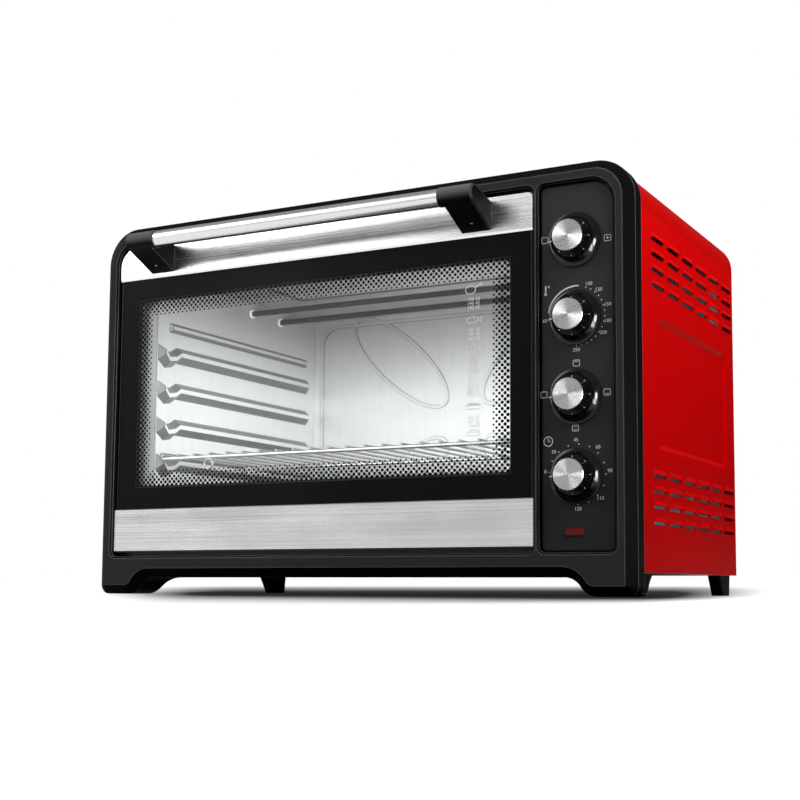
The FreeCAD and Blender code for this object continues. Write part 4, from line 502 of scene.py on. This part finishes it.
def panel_plastic():
    """The control panel: fine grained, and a little darker towards its foot, as painted shade."""
    material, tree, shader = node_tree("panel_plastic")
    fine = even_noise(tree, PANEL_GRAIN)
    plain = ramp(tree, even_noise(tree, MOTTLING), low=grey(0.038), high=grey(0.041))
    # Painted shade: darker towards the foot and lighter towards the top
    tint = painted_light_by_height(tree, plain, low_z=0.05, high_z=0.34, low=0.72, high=1.20)
    coat(tree, shader, tint, spread(tree, fine, low=0.42, high=0.51), specular=0.03)
    bump(tree, shader, fine, distance=0.02 * MM)
    return material


def brushed(name, color, roughness, stretch, metallic=1.0):
    """Brushed sheet: long scratches one way, broad clouding, and roughness that follows both."""
    material, tree, shader = node_tree(name)
    lines = noise(tree, stretch, detail=2.0)
    clouds = combine(tree, "MULTIPLY", noise(tree, SHEET_CLOUDS, detail=4.0), CLOUD_SHARE)
    both = combine(tree, "MULTIPLY_ADD", lines, SCRATCH_SHARE, clouds)
    tint = ramp(tree, both, shade(color, 0.93), shade(color, 1.05))
    coat(tree, shader, tint, spread(tree, both, roughness - 0.06, roughness + 0.08), metallic=metallic)
    bump(tree, shader, lines, SCRATCH_DEPTH)
    return material


def tube_chrome():
    """The handle's brushed tube, bright above and in its own shade underneath."""

    def shaded(tree, plain):
        # Painted shade: near black on the faces that look down and back
        return blend(tree, facing(tree, (0, 0.28, -0.96), start=0.70, end=0.84), plain, grey(0.03))

    chrome = brushed("handle_chrome", color=(0.66, 0.66, 0.67), roughness=0.28, stretch=ALONG_X)
    return repaint(chrome, shaded)


def cavity_steel():
    """Pressed sheet: bright flats, and painted shade on the pressings' slopes and creases, ceiling and
    floor.
    """

    def with_painted_shade(tree, plain):
        coords = tree.nodes.new("ShaderNodeTexCoord")
        flat = tree.nodes.new("ShaderNodeVectorMath")
        flat.operation = "ABSOLUTE"
        tree.links.new(coords.outputs["Normal"], flat.inputs[0])
        axes = split_axes(tree, flat.outputs["Vector"])
        largest = combine(tree, "MAXIMUM", combine(tree, "MAXIMUM", axes["X"], axes["Y"]), axes["Z"])
        # Painted shade: slopes, where the normal leans off the axes, darken to under a third
        level = map_range(tree, largest, start=0.86, end=0.985, low=0.30, high=1.0, smooth=True)
        # Painted shade: dark grey along the creases
        creased = blend(tree, edge_mask_for_painted_light(tree, radius=1.2 * MM), scaled(tree, plain, level), grey(0.10))
        # Painted shade: darker towards the ceiling, and near black below the front flange's top, seen
        # through the gap under the door
        upper = painted_light_by_height(tree, creased, low_z=0.235, high_z=0.325, low=1.0, high=0.42)
        return painted_light_by_height(tree, upper, low_z=0.062, high_z=0.070, low=0.03, high=1.0)

    steel = brushed("cavity_steel", color=grey(0.80), roughness=0.36, stretch=CAVITY_SCRATCHES,
                    metallic=0.55)
    return repaint(steel, with_painted_shade)


def red_paint():
    """Semi-gloss red paint on sheet, with the faint orange peel of a sprayed coat, and painted light that
    changes with height.
    """
    material, tree, shader = node_tree("red_paint")
    peel = even_noise(tree, ORANGE_PEEL, detail=2.0)
    broad = even_noise(tree, PAINT_CLOUDS, detail=2.0)
    plain = ramp(tree, broad, low=(0.60, 0.0006, 0.001), high=(0.64, 0.0012, 0.002))
    # Painted light: the red brightens upwards, and painted shade darkens it along the rounding into the
    # top
    sides = painted_light_by_height(tree, plain, low_z=0.05, high_z=0.37, low=0.82, high=1.2)
    whole = painted_light_by_height(tree, sides, low_z=0.345, high_z=0.372, low=1.0, high=0.55)
    coat(tree, shader, whole, spread(tree, peel, low=0.34, high=0.42), specular=0.008)
    bump(tree, shader, peel, distance=0.01 * MM)
    return material


def spun_metal():
    """Spun aluminium, with a sheen that fans out from the middle."""
    material, tree, shader = node_tree("cap_silver")
    grain = even_noise(tree, SPUN_GRAIN, detail=2.0)
    tint = ramp(tree, grain, low=(0.50, 0.50, 0.51), high=(0.64, 0.64, 0.65))
    coat(tree, shader, tint, spread(tree, grain, low=0.24, high=0.32), metallic=1.0)
    shader.inputs["Anisotropic"].default_value = 0.94
    shader.inputs["Anisotropic Rotation"].default_value = 0.25
    tangent = tree.nodes.new("ShaderNodeTangent")
    tangent.direction_type = "RADIAL"
    tangent.axis = "Y"
    tree.links.new(tangent.outputs["Tangent"], shader.inputs["Tangent"])
    return material


def clear_glass(name, color, roughness=0.02):
    """Clear sheet glass that lets lamps through, with smears in its shine."""
    material, tree, shader = node_tree(name)
    smear = noise(tree, GLASS_SMEARS, detail=3.0)
    tree.links.new(spread(tree, smear, roughness, roughness + 0.03), shader.inputs["Roughness"])
    shader.inputs["Base Color"].default_value = (*color, 1)
    shader.inputs["Transmission Weight"].default_value = 1.0
    shader.inputs["IOR"].default_value = GLASS_IOR
    see = tree.nodes.new("ShaderNodeBsdfTransparent")
    see.inputs["Color"].default_value = (*color, 1)
    mix = tree.nodes.new("ShaderNodeMixShader")
    tree.links.new(seen_by(tree, ("Is Shadow Ray", "Is Diffuse Ray")), mix.inputs["Fac"])
    tree.links.new(shader.outputs["BSDF"], mix.inputs[1])
    tree.links.new(see.outputs["BSDF"], mix.inputs[2])
    show_surface(tree, mix.outputs["Shader"])
    return material


def lens_red():
    """The pilot lamp's ribbed red lens, unlit."""
    material, tree, shader = node_tree("lens_red")
    ribs = noise(tree, LENS_RIBS, detail=1.0)
    tint = ramp(tree, ribs, low=(0.06, 0.001, 0.002), high=(0.22, 0.002, 0.004))
    tree.links.new(tint, shader.inputs["Base Color"])
    shader.inputs["Roughness"].default_value = 0.14
    shader.inputs["Specular IOR Level"].default_value = 0.3
    return material


def heater_steel():
    """Sheathed element: dull, with straw and brown heat tints along it."""
    material, tree, shader = node_tree("heater_steel")
    heat = noise(tree, HEAT_TINTS, detail=4.0)
    tint = ramp(tree, heat, low=(0.012, 0.011, 0.011), high=(0.035, 0.033, 0.031))
    coat(tree, shader, tint, spread(tree, heat, low=0.35, high=0.55), metallic=0.85)
    bump(tree, shader, even_noise(tree, HEATER_GRAIN), distance=0.03 * MM)
    return material


def ink(name, color, roughness=0.5, specular=0.3):
    """Printed ink: an even film with slight thin places."""
    material, tree, shader = node_tree(name)
    thin = even_noise(tree, INK_GRAIN, detail=2.0)
    tint = ramp(tree, thin, shade(color, 0.93), shade(color, 1.04))
    coat(tree, shader, tint, spread(tree, thin, roughness - 0.03, roughness + 0.03), specular=specular)
    return material


SLOT_MATERIALS = {
    "frame_plastic": frame_plastic(),
    "panel_plastic": panel_plastic(),
    "red_paint": red_paint(),
    "cavity_steel": cavity_steel(),
    "heater_steel": heater_steel(),
    "handle_chrome": tube_chrome(),
    "handle_black": bracket_plastic(),
    "cap_silver": spun_metal(),
    "lens_red": lens_red(),
    "door_glass": clear_glass("door_glass", color=(0.93, 0.95, 0.94)),
    "lamp_glass": clear_glass("lamp_glass", color=(0.95, 0.80, 0.62), roughness=0.05),
}
for slot_name, values in PLASTICS.items():
    SLOT_MATERIALS[slot_name] = plastic(slot_name, **values)
for slot_name, values in SHEETS.items():
    SLOT_MATERIALS[slot_name] = brushed(slot_name, **values)
BLACK_INK = ink("black_ink", color=(0.0065, 0.0065, 0.007), roughness=0.34, specular=0.04)
WHITE_INK = ink("white_ink", color=grey(0.85))
GREY_INK = ink("grey_ink", color=grey(0.74))

for entry in frame["record"]["subparts"]:
    for material_slot in frame["nodes"][entry["node"]].material_slots:
        material_slot.link = "OBJECT"
        material_slot.material = SLOT_MATERIALS[entry["material_slot"]]


# Pieces

def add_object(name, data):
    obj = bpy.data.objects.new(name, data)
    bpy.context.scene.collection.objects.link(obj)
    return obj


def finish_piece(name, mesh, material, body):
    obj = add_object(name, mesh)
    mesh.materials.append(material)
    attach(obj, body)
    return obj


def mesh_from(name, build):
    """A mesh made by a function that fills a bmesh."""
    work = bmesh.new()
    build(work)
    mesh = bpy.data.meshes.new(name)
    work.to_mesh(mesh)
    work.free()
    return mesh


def face_from(work, points):
    return work.faces.new([work.verts.new(p) for p in points])


def clock_way(clock):
    """The way (x, z) to a clock angle, in degrees clockwise from nine o'clock as seen from the front."""
    turn = math.radians(180 - clock)
    return math.cos(turn), math.sin(turn)


def disc(work, x, y, z, radius, sides):
    """A small round dot that faces the front."""
    points = []
    for index in range(sides):
        turn = 2 * math.pi * index / sides
        points.append((x + radius * math.cos(turn), y, z + radius * math.sin(turn)))
    face_from(work, points)


def ribbon(work, points, width, closed=False):
    """A flat line of even width along points (x, y, z) in a plane of constant y."""
    count = len(points)
    left, right = [], []
    for index, point in enumerate(points):
        before = points[index - 1] if index > 0 or closed else points[index]
        after = points[(index + 1) % count] if index < count - 1 or closed else points[index]
        way = Vector((after[0] - before[0], 0, after[2] - before[2])).normalized()
        side = Vector((-way.z, 0, way.x)) * (width / 2)
        left.append(work.verts.new(Vector(point) + side))
        right.append(work.verts.new(Vector(point) - side))
    for index in range(count if closed else count - 1):
        ahead = (index + 1) % count
        work.faces.new((left[index], left[ahead], right[ahead], right[index]))


def arc_points(x, y, z, radius, start, end, steps, squash=1.0):
    """Points on an arc between two clock angles."""
    points = []
    for index in range(steps + 1):
        across, up = clock_way(start + (end - start) * index / steps)
        points.append((x + radius * across, y, z + radius * squash * up))
    return points


def ring_points(x, y, z, radius, steps, squash=1.0):
    """Points round a whole ring, for a closed ribbon."""
    return arc_points(x, y, z, radius, *FULL_TURN, steps, squash)[:-1]


def rounded_outline(x0, x1, z0, z1, radius, steps):
    """Points round a rectangle from its lower left corner, clockwise."""
    corners = ((x0, z0, 1, 1, 270), (x0, z1, 1, -1, 180), (x1, z1, -1, -1, 90), (x1, z0, -1, 1, 0))
    points = []
    for x, z, inward_x, inward_z, start in corners:
        for index in range(steps + 1):
            turn = math.radians(start - 90 * index / steps)
            points.append((x + inward_x * radius + radius * math.cos(turn),
                           z + inward_z * radius + radius * math.sin(turn)))
    return points


def build_print():
    """The glass's black border and its dots, which shrink towards the clear middle."""
    low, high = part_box("door_glass")
    y = low.y - PRINT_GAP
    x0, x1 = low.x + PRINT_GAP, high.x - PRINT_GAP
    z0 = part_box("door_bottom_trim")[1].z + PRINT_GAP
    z1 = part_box("door_top_trim")[0].z + PRINT_UNDER_TRIM
    width, height = PRINT_RIGHT - PRINT_LEFT, PRINT_TOP - PRINT_BOTTOM

    def border(work):
        corners = ((x0, z0), (x1, z0), (x1, z1), (x0, z1))
        hole = ((PRINT_LEFT, PRINT_BOTTOM), (PRINT_RIGHT, PRINT_BOTTOM), (PRINT_RIGHT, PRINT_TOP),
                (PRINT_LEFT, PRINT_TOP))
        outer = [work.verts.new((x, y, z)) for x, z in corners]
        inner = [work.verts.new((x, y, z)) for x, z in hole]
        for index in range(len(corners)):
            ahead = (index + 1) % len(corners)
            work.faces.new((outer[index], outer[ahead], inner[ahead], inner[index]))

    def dots(work):
        columns, rows = int(width / (DOT_PITCH / 2)), int(height / (DOT_PITCH / 2))
        for column in range(1, columns):
            # Every second place of the grid has a dot, and neighbouring columns are staggered
            for row in range(2 - column % 2, rows, 2):
                x = PRINT_LEFT + column * (width / columns)
                z = PRINT_BOTTOM + row * (height / rows)
                inside = min(x - PRINT_LEFT, PRINT_RIGHT - x, z - PRINT_BOTTOM, PRINT_TOP - z)
                if inside < DOT_FIELD:
                    shrink = DOT_SHRINK_SHARE * (inside / DOT_FIELD) ** DOT_SHRINK_POWER
                    disc(work, x, y, z, DOT_R * (1.0 - shrink), DOT_SIDES)

    def build(work):
        border(work)
        dots(work)

    finish_piece("glass_print", mesh_from("glass_print", build), BLACK_INK, "door")


def add_number(work, text, x, y, z, size):
    """A number that faces the front."""
    curve = bpy.data.curves.new("number", "FONT")
    curve.body = text
    curve.size = size
    curve.align_x = "CENTER"
    curve.align_y = "CENTER"
    curve.resolution_u = 3
    obj = add_object("number", curve)
    mesh = bpy.data.meshes.new_from_object(obj)
    bpy.data.objects.remove(obj)
    mesh.transform(Matrix.Translation((x, y, z)) @ Matrix.Rotation(math.radians(90), 4, "X"))
    work.from_mesh(mesh)
    bpy.data.meshes.remove(mesh)


def pictogram(work, kind, x, y, z):
    """A plain outline of a kind of food, in thin lines."""
    for stroke in PICTOGRAM_SHARES[kind]:
        closed = stroke.get("closed", False)
        if "arc" in stroke:
            across, up, radius = (MARK_SIZE * share for share in stroke["arc"])
            points = arc_points(x + across, y, z + up, radius, *stroke["turn"], stroke["steps"],
                                stroke.get("squash", 1.0))
            if stroke["turn"] == FULL_TURN:
                closed = True
                points.pop()
        else:
            points = [(x + MARK_SIZE * across, y, z + MARK_SIZE * up) for across, up in stroke["points"]]
        ribbon(work, points, MARK_LINE * stroke.get("thickness", 1.0), closed)


def build_marks():
    """The cooking marks: under each pictogram, its degrees beside some minutes."""
    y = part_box("door_glass")[0].y - PRINT_GAP

    def build(work):
        for height, degrees, kind in MARK_ROWS:
            pictogram(work, kind, MARK_X, y, height)
            for drop, minutes in MARK_LINES:
                add_number(work, degrees + " " + minutes, MARK_X, y, height + drop, MARK_NUMBER)

    finish_piece("cooking_marks", mesh_from("cooking_marks", build), WHITE_INK, "door")


def knob_axis(name):
    """The knob's axis (x, z)."""
    low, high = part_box(name + "_knob")
    return (low.x + high.x) / 2, (low.z + high.z) / 2


def on_ring(x, z, radius, clock):
    """A place (x, z) on a ring of legends round a knob's axis."""
    across, up = clock_way(clock)
    return x + RING_AT[0] + radius * across, z + RING_AT[1] + radius * up


def ring_dots(work, x, y, z, start, step, count):
    for index in range(count):
        dot_x, dot_z = on_ring(x, z, DOT_RING_R, start + step * index)
        disc(work, dot_x, y, dot_z, LEGEND_DOT_R, LEGEND_DOT_SIDES)


def ring_numbers(work, x, y, z, numbers):
    for text, clock in numbers:
        number_x, number_z = on_ring(x, z, LEGEND_R, clock)
        add_number(work, text, number_x, y, number_z, LEGEND_NUMBER)


def oven_icon(work, x, y, z, bars=()):
    """A rounded square with heater bars."""
    half = ICON_SIZE / 2
    tall = half * ICON_TALL_SHARE
    outline = rounded_outline(x - half, x + half, z - tall, z + tall, half * ICON_CORNER_SHARE,
                              ICON_CORNER_STEPS)
    ribbon(work, [(px, y, pz) for px, pz in outline], LEGEND_LINE, True)
    reach = half * ICON_BAR_SHARE
    for share in bars:
        level = z + tall * share
        ribbon(work, [(x - reach, y, level), (x + reach, y, level)], ICON_BAR_LINE)


def convection_legends(work, y):
    x, z = knob_axis("convection")
    oven_icon(work, x + PLAIN_ICON_AT[0], y, z + PLAIN_ICON_AT[1])
    fan_x, fan_z = x + FAN_ICON_AT[0], z + FAN_ICON_AT[1]
    oven_icon(work, fan_x, y, fan_z)
    disc(work, fan_x, y, fan_z, FAN_ICON_DOT_R, DOT_SIDES)


def temperature_legends(work, y):
    x, z = knob_axis("temperature")
    sweep = arc_points(x + RING_AT[0], y, z + RING_AT[1], SWEEP_R, *SWEEP_TURN, SWEEP_STEPS)
    ribbon(work, sweep, SWEEP_LINE)
    ring_dots(work, x, y, z, TEMPERATURE_OFF_DOT, 0, 1)
    ring_numbers(work, x, y, z, TEMPERATURE_NUMBERS)
    ring_dots(work, x, y, z, TEMPERATURE_DOT_START, TEMPERATURE_DOT_STEP, TEMPERATURE_DOTS)
    stem_x, bulb_z = x + THERMOMETER_X, z + THERMOMETER_BOTTOM
    ribbon(work, [(stem_x, y, bulb_z), (stem_x, y, z + THERMOMETER_TOP)], THERMOMETER_LINE)
    disc(work, stem_x, y, bulb_z, THERMOMETER_BULB_R, THERMOMETER_BULB_SIDES)
    degree = ring_points(x + DEGREE_AT[0], y, z + DEGREE_AT[1], DEGREE_R, DEGREE_STEPS)
    ribbon(work, degree, LEGEND_LINE, True)


def heater_legends(work, y):
    x, z = knob_axis("heater")
    for across, up, bars in HEATER_ICONS:
        oven_icon(work, x + across, y, z + up, bars)


def timer_legends(work, y):
    x, z = knob_axis("timer")
    ring_numbers(work, x, y, z, TIMER_NUMBERS)
    ring_dots(work, x, y, z, TIMER_DOT_START, TIMER_DOT_STEP, TIMER_DOTS)
    clock_x, clock_z = x + CLOCK_AT[0], z + CLOCK_AT[1]
    ribbon(work, ring_points(clock_x, y, clock_z, CLOCK_R, CLOCK_STEPS), CLOCK_LINE, True)
    hands = [(clock_x, y, clock_z + CLOCK_LONG_HAND), (clock_x, y, clock_z),
             (clock_x + CLOCK_SHORT_HAND, y, clock_z)]
    ribbon(work, hands, CLOCK_LINE)


def build_legends():
    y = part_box("control_panel")[0].y - PRINT_GAP

    def build(work):
        for legends in (convection_legends, temperature_legends, heater_legends, timer_legends):
            legends(work, y)

    finish_piece("panel_legends", mesh_from("panel_legends", build), GREY_INK, "oven_body")


def skirt_point(rim_r, back, share):
    """Radius and y on the knob's flared skirt, from its rim (0) to the collar (1)."""
    rim_y, collar_y = back - RIM_DEPTH, back - COLLAR_DEPTH
    sag = math.sin(math.pi * share)
    r = rim_r + (COLLAR_R - rim_r) * share - SKIRT_SAG_IN * sag
    y = rim_y + (collar_y - rim_y) * share + SKIRT_SAG_BACK * sag
    return r, y


def build_knob_marks(name):
    """The pointer on the skirt at nine o'clock, and short ticks round the collar."""
    x, z = knob_axis(name)
    low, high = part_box(name + "_knob")

    def pointer(work):
        half = POINTER_WIDTH / 2
        rows = []
        for index in range(POINTER_STEPS + 1):
            r, y = skirt_point((high.x - low.x) / 2, high.y, index / SKIRT_STEPS)
            place = (x - r - MARK_LIFT, y - MARK_LIFT)
            rows.append((work.verts.new((*place, z - half)), work.verts.new((*place, z + half))))
        for one, two in zip(rows, rows[1:]):
            work.faces.new((one[0], one[1], two[1], two[0]))

    def ticks(work):
        centre = Vector((x, high.y - COLLAR_DEPTH - MARK_LIFT, z))
        for index in range(TICKS):
            turn = math.radians(360 / TICKS * index)
            way = Vector((math.cos(turn), 0, math.sin(turn)))
            side = Vector((-way.z, 0, way.x)) * (TICK_WIDTH / 2)
            near, far = centre + way * TICK_NEAR_R, centre + way * TICK_FAR_R
            face_from(work, (near - side, far - side, far + side, near + side))

    def build(work):
        pointer(work)
        ticks(work)

    mesh = mesh_from(name + "_marks", build)
    finish_piece(name + "_marks", mesh, WHITE_INK, name + "_control")


build_print()
build_marks()
build_legends()
for control in ("convection", "temperature", "heater", "timer"):
    build_knob_marks(control)


# Floor, light and camera

def painted_shadow(tree):
    """The floor's colour: dark under the part, and white beyond the shadow's fades."""
    coords = tree.nodes.new("ShaderNodeTexCoord")

    def reach(direction):
        """How far a point of the floor lies in a direction from the middle of the part."""
        return dot_product(tree, coords.outputs["Object"], direction)

    away = reach(SHADOW_AWAY)
    wider = combine(tree, "MULTIPLY_ADD", away, SHADOW_WIDENING, 1.0)
    side = combine(tree, "DIVIDE", reach(SHADOW_ACROSS), wider)
    fades = ((away, SHADOW_BACK_FADE), (side, SHADOW_RIGHT_FADE), (side, SHADOW_LEFT_FADE),
             (reach(FORWARD), SHADOW_FRONT_FADE), (reach((1, 0, 0)), SHADOW_SIDE_FADE))
    squares = 0.0
    for distance, (start, end) in fades:
        edge = map_range(tree, distance, start, end)
        squares = combine(tree, "MULTIPLY_ADD", edge, edge, squares)
    shadow = tree.nodes.new("ShaderNodeValToRGB")
    stops = shadow.color_ramp.elements
    stops[0].color = (*grey(SHADOW_DARK), 1)
    stops[1].color = (*grey(1.0), 1)
    for place, value in SHADOW_STOPS:
        stops.new(place).color = (*grey(value), 1)
    tree.links.new(combine(tree, "SQRT", squares), shadow.inputs["Fac"])
    return shadow.outputs["Color"]


def stage_floor():
    """A floor that glows white and takes little from the lamps, so that its shadow stays as painted."""
    mesh = bpy.data.meshes.new("floor")
    size = FLOOR_SIZE
    corners = [(-size, -size, 0), (size, -size, 0), (size, FLOOR_BEND, 0), (-size, FLOOR_BEND, 0),
               (size, size, FLOOR_RISE), (-size, size, FLOOR_RISE)]
    mesh.from_pydata(corners, [], [(0, 1, 2, 3), (3, 2, 4, 5)])
    floor = add_object("floor", mesh)
    floor.location.z = -FLOOR_DROP
    material, tree, shader = node_tree("floor")
    shader.inputs["Roughness"].default_value = 0.9
    shader.inputs["Specular IOR Level"].default_value = 0.0
    shadow = painted_shadow(tree)
    glow = tree.nodes.new("ShaderNodeEmission")
    tree.links.new(shadow, glow.inputs["Color"])
    shown = seen_by(tree, ("Is Camera Ray", "Is Glossy Ray", "Is Transmission Ray"))
    tree.links.new(shown, glow.inputs["Strength"])
    tree.links.new(scaled(tree, shadow, LAMPLIGHT_SHARE), shader.inputs["Base Color"])
    add = tree.nodes.new("ShaderNodeAddShader")
    tree.links.new(shader.outputs["BSDF"], add.inputs[0])
    tree.links.new(glow.outputs["Emission"], add.inputs[1])
    show_surface(tree, add.outputs["Shader"])
    mesh.materials.append(material)


def set_world():
    """White to the camera, also through glass, and elsewhere a softer studio, darker near the floor."""
    world = bpy.data.worlds.new("studio")
    bpy.context.scene.world = world
    world.use_nodes = True
    tree = world.node_tree
    tree.nodes.clear()
    out = tree.nodes.new("ShaderNodeOutputWorld")
    way = tree.nodes.new("ShaderNodeTexCoord").outputs["Generated"]
    walls = map_range(tree, split_axes(tree, way)["Z"], *STUDIO_HEIGHTS, *STUDIO_GREYS)
    towards = dot_product(tree, way, Vector(WINDOW_WAY).normalized())
    window = map_range(tree, towards, *WINDOW_COSINES, *WINDOW_GREYS)
    studio = tree.nodes.new("ShaderNodeBackground")
    tree.links.new(combine(tree, "MAXIMUM", walls, window), studio.inputs["Color"])
    studio.inputs["Strength"].default_value = STUDIO_STRENGTH
    white = tree.nodes.new("ShaderNodeBackground")
    white.inputs["Color"].default_value = (1, 1, 1, 1)
    white.inputs["Strength"].default_value = 1.0
    mix = tree.nodes.new("ShaderNodeMixShader")
    tree.links.new(seen_by(tree, ("Is Camera Ray", "Is Transmission Ray")), mix.inputs["Fac"])
    tree.links.new(studio.outputs["Background"], mix.inputs[1])
    tree.links.new(white.outputs["Background"], mix.inputs[2])
    tree.links.new(mix.outputs["Shader"], out.inputs["Surface"])


def aim(obj, at, to):
    """Puts a lamp or a card at a place, turned towards another."""
    obj.location = at
    obj.rotation_euler = (Vector(to) - Vector(at)).to_track_quat("-Z", "Y").to_euler()


def area_light(name, at, to, width, height, power, hidden_from):
    data = bpy.data.lights.new(name, "AREA")
    data.shape = "RECTANGLE"
    data.size = width
    data.size_y = height
    data.energy = power
    light = add_object(name, data)
    aim(light, at, to)
    for rays in hidden_from:
        setattr(light, rays, False)


def reflector(name, at, to, width, height, strength):
    """A white card that only shiny surfaces see."""
    mesh = bpy.data.meshes.new(name)
    w, h = width / 2, height / 2
    mesh.from_pydata([(-w, -h, 0), (w, -h, 0), (w, h, 0), (-w, h, 0)], [], [(0, 1, 2, 3)])
    card = add_object(name, mesh)
    aim(card, at, to)
    card.visible_camera = False
    card.visible_diffuse = False
    card.visible_shadow = False
    card.visible_transmission = False
    material = bpy.data.materials.new(name)
    material.use_nodes = True
    tree = material.node_tree
    tree.nodes.clear()
    out = tree.nodes.new("ShaderNodeOutputMaterial")
    glow = tree.nodes.new("ShaderNodeEmission")
    glow.inputs["Strength"].default_value = strength
    tree.links.new(glow.outputs["Emission"], out.inputs["Surface"])
    mesh.materials.append(material)


def set_camera():
    data = bpy.data.cameras.new("camera")
    data.lens = CAMERA_LENS
    data.sensor_width = SENSOR
    data.shift_x, data.shift_y = CAMERA_SHIFT
    data.clip_start = CAMERA_NEAR
    camera = add_object("camera", data)
    turn = Matrix.Rotation(math.radians(CAMERA_TURN), 4, "Z")
    pitch = Matrix.Rotation(math.radians(90 + CAMERA_PITCH), 4, "X")
    roll = Matrix.Rotation(math.radians(CAMERA_ROLL), 4, "Z")
    camera.matrix_world = Matrix.Translation(CAMERA_AT) @ turn @ pitch @ roll
    bpy.context.scene.camera = camera


stage_floor()
set_world()
for lamp in LAMPS:
    area_light(*lamp)
for card in CARDS:
    reflector(*card)
set_camera()
bpy.context.scene.view_settings.view_transform = "Standard"
